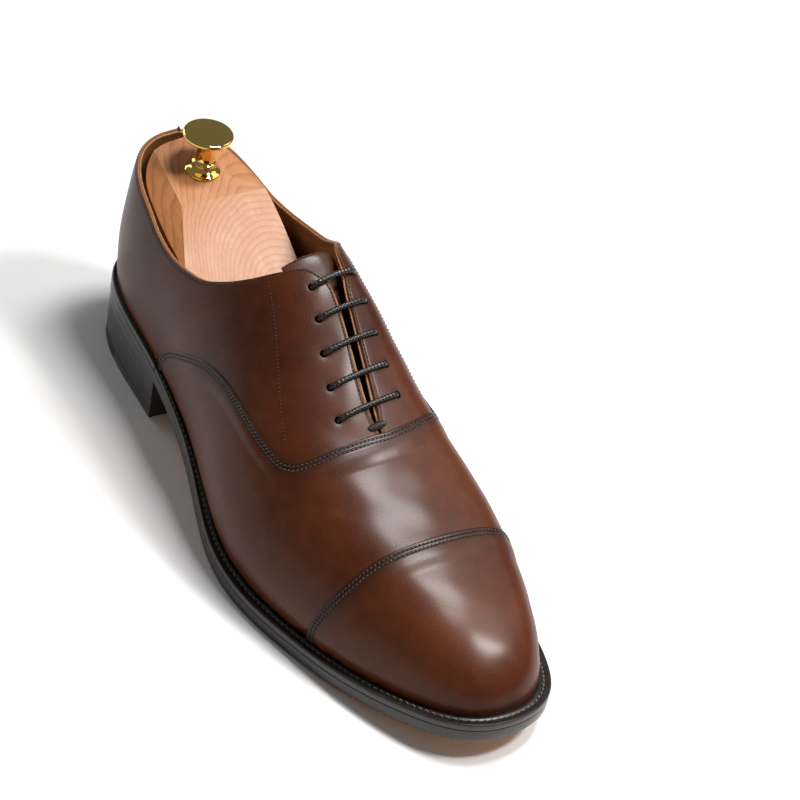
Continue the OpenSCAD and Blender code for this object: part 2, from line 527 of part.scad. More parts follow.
module heel_sock() {
  n = 16;
  color(tan) plate(lin(0, u_at(46, 0), n), lin(0, u_at(46, 1), n), flat_off(n + 1, -1.6),
                   insole_t + 0.2, insole_t + 1);
}
module insole_rib() {
  path = front_path(breast_l + 0.02, breast_m + 0.02, 22);
  color(natural) strip(path, [for (p = path) [[-6.4, welt_low], [-4.1, welt_low], [-4.1, 0], [-6.4, 0]]]);
}
module cork_filler() {
  n = 18;
  color([0.5, 0.33, 0.2]) plate(lin(u_at(110, 0), u_at(250, 0), n), lin(u_at(110, 1), u_at(250, 1), n),
                                flat_off(n + 1, -6.9), welt_low, -0.05);
}
module shank() {
  color([0.6, 0.6, 0.62])
    bar([for (x = lin(6, 106, 12))
      let(u = u_at(x, 0), p = last_point(u, 0), q = last_point(u, 1), y = (p[1] + q[1]) / 2, z = p[2])
      [[p[0], y - 7, z + welt_low + 0.1], [p[0], y + 7, z + welt_low + 0.1], [p[0], y + 7, z - 0.2],
       [p[0], y - 7, z - 0.2]]], true);
}

// ---- heel -----------------------------------------------------------------------------------
seat_low = heel_height - 5.5; // underside of the tapered seat lift
lift_t = (seat_low - top_piece_t) / lifts;
heel_inset = 0.4; // how far the stack sits in from the sole's edge
function heel_outline(off) =
  concat([for (u = reversed(lin(0, breast_l, 14))) let(p = edge(u, 0, off, 0)) [p[0], p[1]]],
         [for (u = tail(lin(0, breast_m, 14))) let(p = edge(u, 1, off, 0)) [p[0], p[1]]]);
module heel_layer(z, t, off) {
  translate([0, 0, z]) linear_extrude(t - 0.03) polygon(heel_outline(off));
}
module heel_seat_lift() {
  n = 14;
  off = heel_out - heel_inset;
  color(stained)
    bar([for (i = [0:n]) let(a = edge(mix(0, breast_l, i / n), 0, off, -sole_t - 0.03),
                             b = edge(mix(0, breast_m, i / n), 1, off, -sole_t - 0.03))
      [[a[0], a[1], seat_low], [b[0], b[1], seat_low], b, a]], true);
}
function lift_z(k) = top_piece_t + k * lift_t;
function lift_off(k) = heel_out - heel_inset - 0.12 * (lifts - k);
module heel_lift_upper() { color(stained) heel_layer(lift_z(2), lift_t, lift_off(2)); }
module heel_lift_middle() { color(stained) heel_layer(lift_z(1), lift_t, lift_off(1)); }
module heel_lift_lower() { color(stained) heel_layer(lift_z(0), lift_t, lift_off(0)); }
tip_x = -3; // where the leather top piece meets the rubber tip
nail_d = 1.6;
module nail_places() {
  for (p = [[26, -22], [26, 22], [14, -24], [14, 24], [4, -25], [4, 25], [10, 0]])
    translate([p[0], p[1], 0]) children();
}
module top_piece() {
  color(natural) difference() {
    intersection() {
      heel_layer(0, top_piece_t, lift_off(-0.4));
      translate([tip_x, -60, -1]) cube([60, 120, top_piece_t + 2]);
    }
    nail_places() translate([0, 0, -1]) cylinder(d = nail_d + 0.06, h = 5.5, $fn = 20);
  }
}
module heel_tip() {
  color([0.06, 0.06, 0.06]) intersection() {
    heel_layer(0, top_piece_t, lift_off(-0.4));
    translate([tip_x - 60 - 0.05, -60, -1]) cube([60, 120, top_piece_t + 2]);
  }
}
module heel_nails() {
  color([0.7, 0.55, 0.3]) nail_places() translate([0, 0, 0.15]) cylinder(d = nail_d, h = 4.2, $fn = 20);
}

// ---- shoe tree ------------------------------------------------------------------------------
cedar = [0.76, 0.52, 0.34];
brass = [0.83, 0.65, 0.28];
bore_gap = 0.06; // radial running clearance of the hinge
cheek_r = 9;
block_front_x = hinge_x - 14;
block_low_z = 37.5;
// Points that fix the planes of the block's top: its ridge, one on the deck, one on the slope and two on
// the lateral chamfer
ridge_l = [5.5, -17, 86];
ridge_m = [7, 21, 88.5];
deck_p = [-32, -1, 94.5];
slope_p = [39, 23.5, 75.5];
chamfer_a = [-26, -16, 91.5];
chamfer_b = [23, -27.5, 75.5];
knob_x = -11;
knob_y = 1;
function plane_normal(p, q, r) = let(n = unit(cross(q - p, r - p))) n[2] > 0 ? n : -n;
deck_z = let(n = plane_normal(ridge_l, ridge_m, deck_p)) // height of the deck under the knob
  ridge_l[2] - (n[0] * (knob_x - ridge_l[0]) + n[1] * (knob_y - ridge_l[1])) / n[2];
seat_z = deck_z - 1.5; // the knob stands upright in a flat seat sunk into the sloping deck
// All that lies above the plane through three points
module above(p, q, r) {
  translate(p) aim(plane_normal(p, q, r)) translate([-90, -90, 0]) cube([180, 180, 90]);
}

module tree_forepart() {
  xs = concat(lin(76, 160, 11), lin(169, 217, 6), [225, 231, 236]);
  vs = lin(0.07, 0.93, 16);
  color(cedar) difference() {
    union() {
      bar([for (x = xs) let(u = u_at(x, 0.5)) [for (v = vs)
        on_last(u, v, -tree_gap - 0.6 - 4.8 * smooth(0.25, 0.38, v < 0.5 ? v : 1 - v)
            * (1 - smooth(162, 182, x))
                      - 5 * smooth(217, 242, x))]]);
      for (s = [-1, 1])
        translate([0, s * (arm_w / 2 + 0.4 + 4.5) + 4.5, 0]) rotate([90, 0, 0]) linear_extrude(9) {
          translate([hinge_x, hinge_z]) circle(r = cheek_r);
          translate([hinge_x, hinge_z - cheek_r]) square([10, 2 * cheek_r]);
        }
    }
    translate([hinge_x - 12, -arm_w / 2 - 0.4, hinge_z - cheek_r - 0.6])
      cube([12 + cheek_r + 0.6, arm_w + 0.8, 2 * cheek_r + 1.2]);
    translate([hinge_x + 9, 0, hinge_z + cheek_r]) rotate([0, 40, 0])
      translate([-100, -60, 0]) cube([100, 120, 150]);
    hinge_bore(0);
  }
}
module hinge_bore(gap) {
  translate([hinge_x, 0, hinge_z]) rotate([90, 0, 0])
    cylinder(d = hinge_pin_d + 2 * gap, h = 60, center = true);
}
// Plan outline of the heel block: the collar's opening, less the gap
function opening(top, side) =
  let(c = concat([[0, top[0][1]]], tail(on_seam([for (i = [0:6]) top[i]], 14))))
  [for (p = side == 0 ? c : mirror_v(c))
    on_last(p[0], p[1], -tree_gap - 0.3 - 0.4 * side * smooth(-25, 10, last_point(p[0], p[1])[0] / lx))];
block_outline = let(a = opening(topline_v, 0), b = opening(topline_m, 1), l = a[14], m = b[14])
  concat([[block_front_x, l[1]]], [for (p = reversed(a)) [p[0], p[1]]],
         [for (p = tail(b)) [p[0], p[1]]], [[block_front_x, m[1]]]);
module tree_heel_block() {
  color(cedar) difference() {
    union() {
      translate([0, 0, block_low_z]) linear_extrude(104 - block_low_z) polygon(block_outline);
      translate([0, arm_w / 2, 0]) rotate([90, 0, 0]) linear_extrude(arm_w) {
        translate([hinge_x, hinge_z]) circle(r = cheek_r);
        translate([block_front_x - 8, hinge_z - cheek_r + 1])
          square([hinge_x - block_front_x + 8, 2 * cheek_r - 2]);
      }
    }
    above(ridge_l, ridge_m, deck_p);
    above(ridge_l, ridge_m, slope_p);
    above(ridge_l, chamfer_a, chamfer_b);
    hinge_bore(bore_gap);
    translate([knob_x, knob_y, deck_z - 22]) cylinder(d = 5.04, h = 40, $fn = 32);
    translate([knob_x, knob_y, seat_z - 0.02]) cylinder(r = 8.2, h = 20);
  }
}
module tree_hinge_pin() {
  color([0.7, 0.7, 0.72])
    translate([hinge_x, 0, hinge_z]) rotate([90, 0, 0])
      cylinder(d = hinge_pin_d - 0.02, h = arm_w + 2 * 9 + 0.8, center = true);
}
module on_seat() { translate([knob_x, knob_y, seat_z]) children(); }
module tree_knob_base() {
  color(brass) on_seat() rotate_extrude()
    polygon([[2.6, 0], [7.8, 0], [8, 1], [7.4, 1.9], [5.8, 2.4], [5, 3.4], [4.6, 4.2], [2.6, 4.2]]);
}
module tree_knob() {
  r = knob_d / 2;
  color(brass) on_seat() rotate_extrude()
    polygon([[0, 5.05], [2.6, 5.05], [2.6, 4.25], [5.1, 4.25], [5.3, 5.3], [4.2, 6], [3.8, 8],
             [4.2, knob_h - 7.6], [6.4, knob_h - 5.2], [r - 1.2, knob_h - 3.7], [r, knob_h - 2.6], [r, knob_h - 2],
             [r - 0.6, knob_h - 1.2], [r - 2.5, knob_h - 0.8], [r - 6.8, knob_h - 0.25], [0, knob_h - 0.05]]);
}
module tree_knob_screw() {
  color([0.7, 0.7, 0.72]) translate([knob_x, knob_y, seat_z - 18]) cylinder(d = 5, h = 22.95, $fn = 32);
}

// ---- choose one node, or all ------------------------------------------------------------------
toe_cap();
vamp();
quarter_lateral();
quarter_medial();
back_strap();
tongue();
vamp_lining();
quarter_lining_lateral();
quarter_lining_medial();
heel_counter();
toe_puff();
blind_eyelets();
throat_bar_tack();
lace();
lace_tips();
cap_seam_thread();
vamp_seam_thread();
facing_thread_lateral();
facing_thread_medial();
insole();
heel_sock();
insole_rib();
cork_filler();
shank();
welt();
heel_rand();
welt_thread();
outsole();
heel_seat_lift();
heel_lift_upper();
heel_lift_middle();
heel_lift_lower();
top_piece();
heel_tip();
heel_nails();
tree_forepart();
tree_heel_block();
tree_hinge_pin();
tree_knob_base();
tree_knob();
tree_knob_screw();
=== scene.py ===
"""Leather cap-toe oxford with its shoe tree: the looks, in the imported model's frame.

The last is the same spline surface as in the CAD source, evaluated finely here, so that every
piece of leather, thread and lace is built on it in millimetres and scaled to metres at the end.
"""

import json
import math

import bmesh
import bpy
import numpy as np
from mathutils import Matrix, Vector


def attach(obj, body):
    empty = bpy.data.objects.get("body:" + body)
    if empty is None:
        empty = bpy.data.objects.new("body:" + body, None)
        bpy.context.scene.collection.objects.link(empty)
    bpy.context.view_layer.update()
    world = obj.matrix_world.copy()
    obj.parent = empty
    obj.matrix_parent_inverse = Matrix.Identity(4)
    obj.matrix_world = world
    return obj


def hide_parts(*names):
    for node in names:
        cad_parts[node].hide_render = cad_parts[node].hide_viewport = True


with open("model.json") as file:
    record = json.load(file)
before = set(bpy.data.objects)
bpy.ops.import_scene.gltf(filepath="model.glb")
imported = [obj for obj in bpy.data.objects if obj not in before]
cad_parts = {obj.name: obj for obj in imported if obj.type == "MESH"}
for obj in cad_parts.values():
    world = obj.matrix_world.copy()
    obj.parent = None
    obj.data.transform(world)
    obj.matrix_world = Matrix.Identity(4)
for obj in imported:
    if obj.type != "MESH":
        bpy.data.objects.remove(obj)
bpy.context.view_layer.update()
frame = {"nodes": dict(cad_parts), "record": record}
MM = 0.001

# ---- the last: a spline surface, u from heel to toe, v from lateral to medial feather edge ----
SOLE_T = 7.6
# x, lateral and medial half widths, feather height above the sole, ridge z, ridge y, bulges, shoulders
LAST = np.array([
    [-35, 0, 0, 24, 109, 0, 0, 0, 0, 0],
    [-35, -18.5, 15.5, 24, 109, 0, 0.5, 0.5, 1.2, 0.8],
    [-13, -30, 27.5, 23.5, 111, 0.5, 2, 2, 0.95, 0.62],
    [25, -31.5, 29, 22.5, 115.5, 2, 3, 3, 0.55, 0.55],
    [60, -34.5, 27.5, 17.5, 116.5, 5, 5.5, 7.5, 0.55, 0.6],
    [94, -38.5, 25.5, 7.5, 107, 8, 8.5, 11.5, 0.6, 0.72],
    [125, -47.5, 31.5, 1.5, 85, 6.5, 7.5, 9.5, 0.68, 0.8],
    [153, -49.5, 38, 0, 68.5, 5.5, 4.5, 6, 0.74, 0.86],
    [182, -42.5, 42, 0, 57.5, 6, 4.5, 3, 0.76, 0.88],
    [212, -34.5, 38, 2, 49.5, 7, 3, 1, 0.74, 0.84],
    [240, -22, 30, 6.5, 40.5, 6, 1, 1, 0.7, 0.74],
    [257.5, -10.5, 18, 10, 29, 4, 0, 0, 0.6, 0.6],
    [257.5, 3, 3, 10, 17.7, 3, 0, 0, 0, 0]])
RISE = [0, 0.17, 0.52, 0.93, 1]
HEEL_CURVE = [2, -2, -1.5, 5.5, 9.5]
HEEL_SHARE = [1, 1, 0.55]


def control_net():
    net = np.zeros((len(LAST), 9, 3))
    for i, r in enumerate(LAST):
        yl, ym, zf, zt, yt = r[1], r[2], r[3] + SOLE_T, r[4], r[5]
        ys = [yl, yl - r[6], yl - 0.6 * r[6] + 0.06 * (yt - yl), yt + (yl - yt) * r[8], yt,
              yt + (ym - yt) * r[9], ym + 0.6 * r[7] - 0.06 * (ym - yt), ym + r[7], ym]
        share = HEEL_SHARE[i] if i < len(HEEL_SHARE) else 0
        for j in range(9):
            up = min(j, 8 - j)
            net[i, j] = [r[0] + share * HEEL_CURVE[up], ys[j], zf + RISE[up] * (zt - zf)]
    return net


NET = control_net()


def spline_weights(n, t):
    """Clamped uniform cubic B-spline: first control point and the four weights at t."""
    t = np.clip(t, 0, n - 3)
    s = np.minimum(np.floor(t), n - 4).astype(int)
    k = s + 3

    def kn(i):
        return np.clip(i - 3, 0, n - 3)

    a1, a2, a3 = t - kn(k), t - kn(k - 1), t - kn(k - 2)
    b1, b2, b3 = kn(k + 1) - t, kn(k + 2) - t, kn(k + 3) - t
    p0, p1 = b1 / (b1 + a1), a1 / (b1 + a1)
    q0, q1 = p0 / (b1 + a2), p1 / (b2 + a1)
    m0, m1, m2 = b1 * q0, a2 * q0 + b2 * q1, a1 * q1
    c0, c1, c2 = m0 / (b1 + a3), m1 / (b2 + a2), m2 / (b3 + a1)
    return s, [b1 * c0, a3 * c0 + b2 * c1, a2 * c1 + b3 * c2, a1 * c2]


def last_point(u, v):
    u, v = np.broadcast_arrays(np.asarray(u, float), np.asarray(v, float))
    i, wu = spline_weights(len(LAST), u * (len(LAST) - 3))
    j, wv = spline_weights(9, v * 6)
    out = np.zeros(u.shape + (3,))
    for a in range(4):
        for b in range(4):
            out += (wu[a] * wv[b])[..., None] * NET[i + a, j + b]
    return out


EPS = 0.002


def unit(a):
    return a / np.maximum(np.linalg.norm(a, axis=-1, keepdims=True), 1e-9)


def last_normal(u, v):
    u, v = np.broadcast_arrays(np.asarray(u, float), np.asarray(v, float))
    uu = np.clip(u, 2 * EPS, 1 - 2 * EPS)
    du = last_point(uu + EPS, v) - last_point(uu - EPS, v)
    dv = last_point(uu, np.minimum(v + EPS, 1)) - last_point(uu, np.maximum(v - EPS, 0))
    n = unit(np.cross(du, dv))
    back = u <= 0
    n[back, 1] = 0
    n[u >= 1] = [1, 0, 0]
    return unit(n)


def smooth(a, b, x):
    t = np.clip((np.asarray(x, float) - a) / (b - a), 0, 1)
    return t * t * (3 - 2 * t)


def upper_point(u, v, off):
    """A point off the last; near the feather edge it moves out level, so the foot stays on the welt."""
    n = last_normal(u, v)
    w = smooth(0, 0.03, np.minimum(v, 1 - v))
    n[..., 2] *= w
    return last_point(u, v) + np.asarray(off)[..., None] * unit(n)


def u_at(x, v):
    """The u at which the last's line of constant v reaches a given x."""
    x, v = np.broadcast_arrays(np.asarray(x, float), np.asarray(v, float))
    lo, hi = np.zeros(x.shape), np.ones(x.shape)
    for _ in range(24):
        m = (lo + hi) / 2
        low = last_point(m, v)[..., 0] < x
        lo, hi = np.where(low, m, lo), np.where(low, hi, m)
    return (lo + hi) / 2


def catmull(p, s):
    """Curve through the points p at s, from 0 to the last index."""
    p = np.asarray(p, float)
    n = len(p) - 1
    i = np.clip(np.floor(s), 0, n - 1).astype(int)
    t = (s - i)[:, None]
    b, c = p[i], p[i + 1]
    a = np.where((i > 0)[:, None], p[np.maximum(i - 1, 0)], 2 * b - c)
    d = np.where((i < n - 1)[:, None], p[np.minimum(i + 2, n)], 2 * c - b)
    return 0.5 * (2 * b + (c - a) * t + (2 * a - 5 * b + 4 * c - d) * t**2 + (3 * b - a - 3 * c + d) * t**3)


def curve(p, n):
    return catmull(p, np.linspace(0, len(p) - 1, n + 1))


def on_seam(p, n):
    """A seam given by (x, v) points, as n + 1 (u, v) points of the last."""
    c = curve(p, n)
    return np.c_[u_at(c[:, 0], c[:, 1]), c[:, 1]]


def mirror(c):
    return np.c_[c[:, 0], 1 - c[:, 1]]


def join(a, b):
    return np.vstack([a, b[1:]])


# ---- seam lines, as [x, v] ----
SEAM_L = [[38, 0], [41, 0.035], [47, 0.065], [58, 0.1], [78, 0.155], [100, 0.2], [134, 0.26], [144, 0.29],
          [148, 0.335], [149, 0.4], [149, 0.5]]
SEAM_M = [[38, 0], [41, 0.035], [47, 0.065], [58, 0.1], [78, 0.155], [98, 0.2], [126, 0.26], [139, 0.305],
          [143, 0.36], [147, 0.44], [149, 0.5]]
TOP_L = [[-34, 0.315], [-26, 0.285], [-13, 0.245], [0, 0.22], [14, 0.195], [30, 0.19], [50, 0.215],
         [64, 0.26], [74, 0.315], [80, 0.375], [84, 0.44], [87, 0.475]]
TOP_M = [[-34, 0.315], [-28, 0.285], [-15, 0.255], [0, 0.225], [10, 0.215], [27, 0.225], [50, 0.26],
         [62, 0.305], [70, 0.36], [75, 0.41], [78, 0.43]]
FACING_L = [[87, 0.475], [95, 0.48], [135, 0.475], [148, 0.48], [158, 0.48]]
FACING_M = [[78, 0.43], [86, 0.44], [96, 0.47], [108, 0.485], [125, 0.495], [140, 0.505], [148, 0.515],
            [158, 0.515]]
MEETING = (FACING_M[-1][1] - FACING_L[-1][1]) / 2  # how far to the lateral side the facings meet, in v
FACING_STITCH = [[77, 0.345], [105, 0.32], [138, 0.295]]
EYELETS = ([[139.5, 0.41], [115.5, 0.415], [91.5, 0.43]], [[136, 0.44], [112.5, 0.43], [88.5, 0.41]])
CAP = [[188, 0], [191.5, 0.12], [195, 0.27], [195.5, 0.5], [195, 0.73], [191.5, 0.88], [188, 1]]

LINING_T, UPPER_T, UPPER_IN = 0.8, 1.2, 2.0
UPPER_OUT = UPPER_IN + UPPER_T
UNDERLAP = 6.5
STEP = 0.55  # how far a lapped piece stands proud of the one under it


def gap_at(a, b):
    return np.linalg.norm(last_point(a[:, 0], a[:, 1]) - last_point(b[:, 0], b[:, 1]), axis=1)


def under(a, b, k, foot):
    """The hidden edge of the piece that runs on under the border a, up to point k."""
    a, b = a[:k + 1], b[:k + 1]
    share = (UNDERLAP / np.maximum(gap_at(a, b), UNDERLAP))[:, None]
    out = a + (b - a) * share
    x = last_point(a[:foot, 0], a[:foot, 1])[:, 0] - 0.8
    flat = np.c_[u_at(x, a[:foot, 1]), a[:foot, 1]]
    w = smooth(0, foot, np.arange(foot))[:, None]
    out[:foot] = flat * (1 - w) + out[:foot] * w
    return out


cap_back = on_seam(CAP, 260)
cap_front = np.c_[np.ones(261), cap_back[:, 1]]
cap_under = join(under(cap_back, cap_front, 130, 16), under(cap_back[::-1], cap_front[::-1], 130, 16)[::-1])
vamp_back = join(on_seam(SEAM_L, 280), mirror(on_seam(SEAM_M, 280))[::-1])
u_side = np.linspace(float(u_at(SEAM_L[0][0], 0)), cap_under[0, 0], 151)
vamp_side = np.c_[u_side, np.zeros(151)]
vamp_front = join(join(vamp_side, cap_under), mirror(vamp_side)[::-1])
assert len(vamp_front) == len(vamp_back), (len(vamp_front), len(vamp_back))


def heel_feather(x, n):
    u = np.linspace(0, float(u_at(x, 0)), n + 1)
    return np.c_[u, np.zeros(n + 1)]


def round_corner(c, k, r):
    """Rounds the corner at index k of a border, r mm to each side."""
    p = last_point(c[:, 0], c[:, 1])
    s = np.r_[0, np.cumsum(np.linalg.norm(np.diff(p, axis=0), axis=1))]
    t = (s - s[k] + r) / (2 * r)
    m = (t > 0) & (t < 1)
    a = np.array([np.interp(s[k] - r, s, c[:, q]) for q in (0, 1)])
    b = np.array([np.interp(s[k] + r, s, c[:, q]) for q in (0, 1)])
    tt = t[m][:, None]
    out = c.copy()
    out[m] = (1 - tt)**2 * a + 2 * tt * (1 - tt) * c[k] + tt**2 * b
    return out


def collar_and_facing(top, facing, n, m, r=7.0):
    a, b = on_seam(top, n), on_seam(facing, m)
    a[0] = [0, top[0][1]]
    return round_corner(join(a, b), n, r)


def to_meeting(c, side):
    """Moves the end of a half border from the middle to the line where the facings meet."""
    d = -MEETING if side == 0 else MEETING
    return np.c_[c[:, 0], c[:, 1] + d * smooth(0.36, 0.5, c[:, 1])]


def quarter_foot(back, front):
    return join(heel_feather(SEAM_L[0][0] - 0.8, 100), under(back, front, 280, 16))


quarter_low = to_meeting(quarter_foot(vamp_back, vamp_front), 0)
quarter_low_m = to_meeting(quarter_foot(mirror(vamp_back[::-1]), mirror(vamp_front[::-1])), 1)
quarter_high = collar_and_facing(TOP_L, FACING_L, 240, 140)
quarter_high_m = collar_and_facing(TOP_M, FACING_M, 240, 140)
assert len(quarter_low) == len(quarter_high)

# ---- meshes ----
collection = bpy.context.scene.collection


def mesh_object(name, verts, faces, sharp=None, attributes=None):
    """A smooth-shaded object from points in mm and a list of equal-length faces, or a list of such lists."""
    verts = np.asarray(verts, float) * MM
    lists = faces if isinstance(faces, list) else [faces]
    loops = np.concatenate([np.asarray(f).ravel() for f in lists]).astype(np.int32)
    totals = np.concatenate([np.full(len(f), np.asarray(f).shape[1]) for f in lists])
    starts = np.r_[0, np.cumsum(totals)[:-1]].astype(np.int32)
    me = bpy.data.meshes.new(name)
    me.vertices.add(len(verts))
    me.vertices.foreach_set("co", verts.ravel().astype(np.float32))
    me.loops.add(len(loops))
    me.loops.foreach_set("vertex_index", loops)
    me.polygons.add(len(totals))
    me.polygons.foreach_set("loop_start", starts)
    me.update(calc_edges=True)
    me.validate()
    for key, values in (attributes or {}).items():
        layer = me.attributes.new(key, "FLOAT", "POINT")
        layer.data.foreach_set("value", np.asarray(values, np.float32).ravel())
    me.shade_smooth()
    if sharp:
        me.set_sharp_from_angle(angle=math.radians(sharp))
    ob = bpy.data.objects.new(name, me)
    collection.objects.link(ob)
    return ob


def volume_sign(verts, quads):
    p = np.asarray(verts, float)
    v = 0.0
    for a, b, c in ((0, 1, 2), (0, 2, 3)):
        v += np.einsum("ij,ij->i", p[quads[:, a]], np.cross(p[quads[:, b]], p[quads[:, c]])).sum()
    return v


def grid_quads(rows, cols, k=0, wrap=False):
    i = np.arange(rows - 1)[:, None]
    j = np.arange(cols if wrap else cols - 1)[None, :]
    j2 = (j + 1) % cols
    q = np.stack([i * cols + j, i * cols + j2, (i + 1) * cols + j2, (i + 1) * cols + j], -1)
    return q.reshape(-1, 4) + k


def shell_object(name, outer, inner, sharp=50, attributes=None):
    """A closed shell between two point grids of the same size."""
    rows, cols = outer.shape[:2]
    k = rows * cols
    verts = np.vstack([outer.reshape(-1, 3), inner.reshape(-1, 3)])
    a = grid_quads(rows, cols)
    b = grid_quads(rows, cols, k)[:, ::-1]
    g = np.arange(k).reshape(rows, cols)
    loop = np.r_[g[0, :-1], g[:-1, -1], g[-1, :0:-1], g[:0:-1, 0]]
    nxt = np.roll(loop, -1)
    rim = np.stack([loop, loop + k, nxt + k, nxt], -1)
    quads = np.vstack([a, b, rim])
    if volume_sign(verts, quads) < 0:
        quads = quads[:, ::-1]
    both = {key: np.r_[np.ravel(v), np.ravel(v)] for key, v in (attributes or {}).items()}
    return mesh_object(name, verts, quads, sharp, both)


def bar_object(name, rings, sharp=40):
    """A bar through rings of points, with its ends closed."""
    rings = np.asarray(rings, float)
    m, n = rings.shape[:2]
    verts = rings.reshape(-1, 3)
    quads = grid_quads(m, n, wrap=True)
    first = np.arange(n)[::-1][None, :]
    last = (np.arange(n) + (m - 1) * n)[None, :]
    turn = -1 if volume_sign(verts, quads) < 0 else 1
    return mesh_object(name, verts, [f[:, ::turn] for f in (quads, first, last)], sharp)


def rows_between(a, b, near_a, near_b, middle):
    """Rows across a patch: at the given distances in mm from each border, and evenly between.
    Returns u, v, distance from a and distance from b, each (columns, rows)."""
    t = np.linspace(0, 1, 81)
    path = a[:, None] + (b - a)[:, None] * t[None, :, None]
    p = last_point(path[..., 0], path[..., 1])
    steps = np.linalg.norm(np.diff(p, axis=1), axis=2)
    s = np.concatenate([np.zeros((len(a), 1)), np.cumsum(steps, axis=1)], 1)
    d = s[:, -1:]
    na, nb = np.asarray(near_a, float)[None], np.asarray(near_b, float)[None]
    ka = np.minimum(1, 0.45 * d / max(na.max(), 1e-6))
    kb = np.minimum(1, 0.45 * d / max(nb.max(), 1e-6))
    low, high = na * ka, d - nb[:, ::-1] * kb
    f = np.linspace(0, 1, middle + 2)[None, 1:-1]
    mid = low[:, -1:] + (high[:, :1] - low[:, -1:]) * f
    dist = np.concatenate([low, mid, high], 1)
    tt = np.array([np.interp(dist[i], s[i], t) if s[i, -1] > 1e-6 else np.linspace(0, 1, dist.shape[1])
                   for i in range(len(a))])
    q = a[:, None] + (b - a)[:, None] * tt[..., None]
    return q[..., 0], q[..., 1], dist, d - dist


def rounded(d, t, r):
    """How far an edge of thickness t, rounded with radius r, has fallen at distance d. The thickness t is not
    used.
    """
    x = np.clip(1 - d / r, 0, 1)
    return r * (1 - np.sqrt(np.maximum(1 - x * x, 0)))


def undulate(p, amount=0.16):
    """Slow unevenness of lasted leather, in mm."""
    x, y, z = p[..., 0], p[..., 1], p[..., 2]
    return amount * (np.sin(x / 9.1 + 0.7 * np.sin(y / 7.3)) * np.sin(y / 8.3 + z / 11 + 1.3)
                     + 0.6 * np.sin(x / 5.2 - z / 6.1 + 0.4) * np.sin(y / 4.7 - x / 13 + 2.1))


FINE = [0, 0.07, 0.16, 0.3, 0.5, 0.8, 1.1, 1.3, 1.5, 1.7, 2.0, 2.4, 2.8, 3.0, 3.2, 3.4, 3.6, 4.0,
        4.6, 5.4, 6.4, 7.5, 8.7, 10]
ROWS_AT = (1.5, 3.2)  # where the two rows of a lapped seam's thread lie


def groove(d, at, depth=0.16, width=0.42):
    return sum(depth * np.exp(-((d - x) / width)**2) for x in at)


# ---- upper leather ----
def skived(d):
    """How much a piece is thinned under its neighbour's lap, d mm from its border."""
    return 0.75 * (1 - smooth(4.4, 6.3, d))


def lapped_piece(name, a, b, near_b, middle):
    """A piece whose border a lies over its neighbour, with the two rows of its seam sunk into it."""
    u, v, da, db = rows_between(a, b, FINE, near_b, middle)
    foot = np.minimum(1, np.minimum(v, 1 - v) / 0.02)
    rise = STEP * (1 - smooth(6.5, 13, da)) * smooth(0, 1, foot)
    hidden = skived(db) if near_b is UNDER_ROWS else 0
    thick = 0.5 + 0.6 * smooth(0, 2, da)
    base = UPPER_OUT + rise - hidden
    outer = base - rounded(da, 0.5, 0.45) - groove(da, ROWS_AT)
    inner = np.minimum(base - thick, outer - 0.25)
    wave = undulate(last_point(u, v)) * smooth(0, 12, np.minimum(da, db))
    po, pi = upper_point(u, v, outer + wave), upper_point(u, v, inner + wave)
    shade = np.exp(-(da / 2.6)**2) * 0.8 + 0.55 * np.exp(-(np.maximum(da - 4.5, 0) / 3.0)) * (da > 0)
    return shell_object(name, po, pi, attributes={"shade": np.clip(shade, 0, 1)})


UNDER_ROWS = [0, 1, 2, 3, 4, 4.5, 5, 5.5, 6, 6.4, 7, 8]
toe_cap = lapped_piece("toe_cap_leather", cap_back, cap_front, [0, 0.4, 1.2, 2.5, 4], 70)
vamp = lapped_piece("vamp_leather", vamp_back, vamp_front, UNDER_ROWS, 90)

# Eyelets, counted from the throat up
PAIRS, HOLE_D = 5, 3.4


def mm_v(u):
    """How much v one millimetre is across the instep."""
    return 0.04 / float(np.linalg.norm(last_point(u, 0.52) - last_point(u, 0.48)))


def eyelet_uv(k, side, d=0.0):
    """Place of an eyelet, or d mm from it towards the facing's edge."""
    x, v = catmull(EYELETS[side], np.array([k / (PAIRS - 1) * (len(EYELETS[side]) - 1)]))[0]
    u = float(u_at(x, v))
    v += d * mm_v(u)
    return u, v if side == 0 else 1 - v


def on_last(u, v, off):
    return last_point(u, v) + off * last_normal(u, v)


TACK_X, TACK_V, TACK_LIE, TACK_HOLES = 146.0, 0.481, np.array([-0.17, 1.0, 0.0]), 4.6
_u = float(u_at(TACK_X, TACK_V))
TACK_N = last_normal(_u, TACK_V)
TACK_AT = on_last(_u, TACK_V, UPPER_OUT)
TACK_DIR = unit(TACK_LIE - TACK_N * float(np.dot(TACK_LIE, TACK_N)))
EYES = {(k, s): (on_last(*eyelet_uv(k, s), UPPER_OUT), last_normal(*eyelet_uv(k, s)))
        for k in range(PAIRS) for s in (0, 1)}


def eyes_on(side):
    """Centre and normal of each eyelet on one side."""
    return [EYES[k, side] for k in range(PAIRS)]


def pucker(p, side):
    """The leather is drawn in a little round each eyelet."""
    out = np.zeros(p.shape[:-1])
    for c, _ in eyes_on(side):
        out += 0.28 * np.exp(-(np.linalg.norm(p - c, axis=-1) / 2.1)**2)
    return out


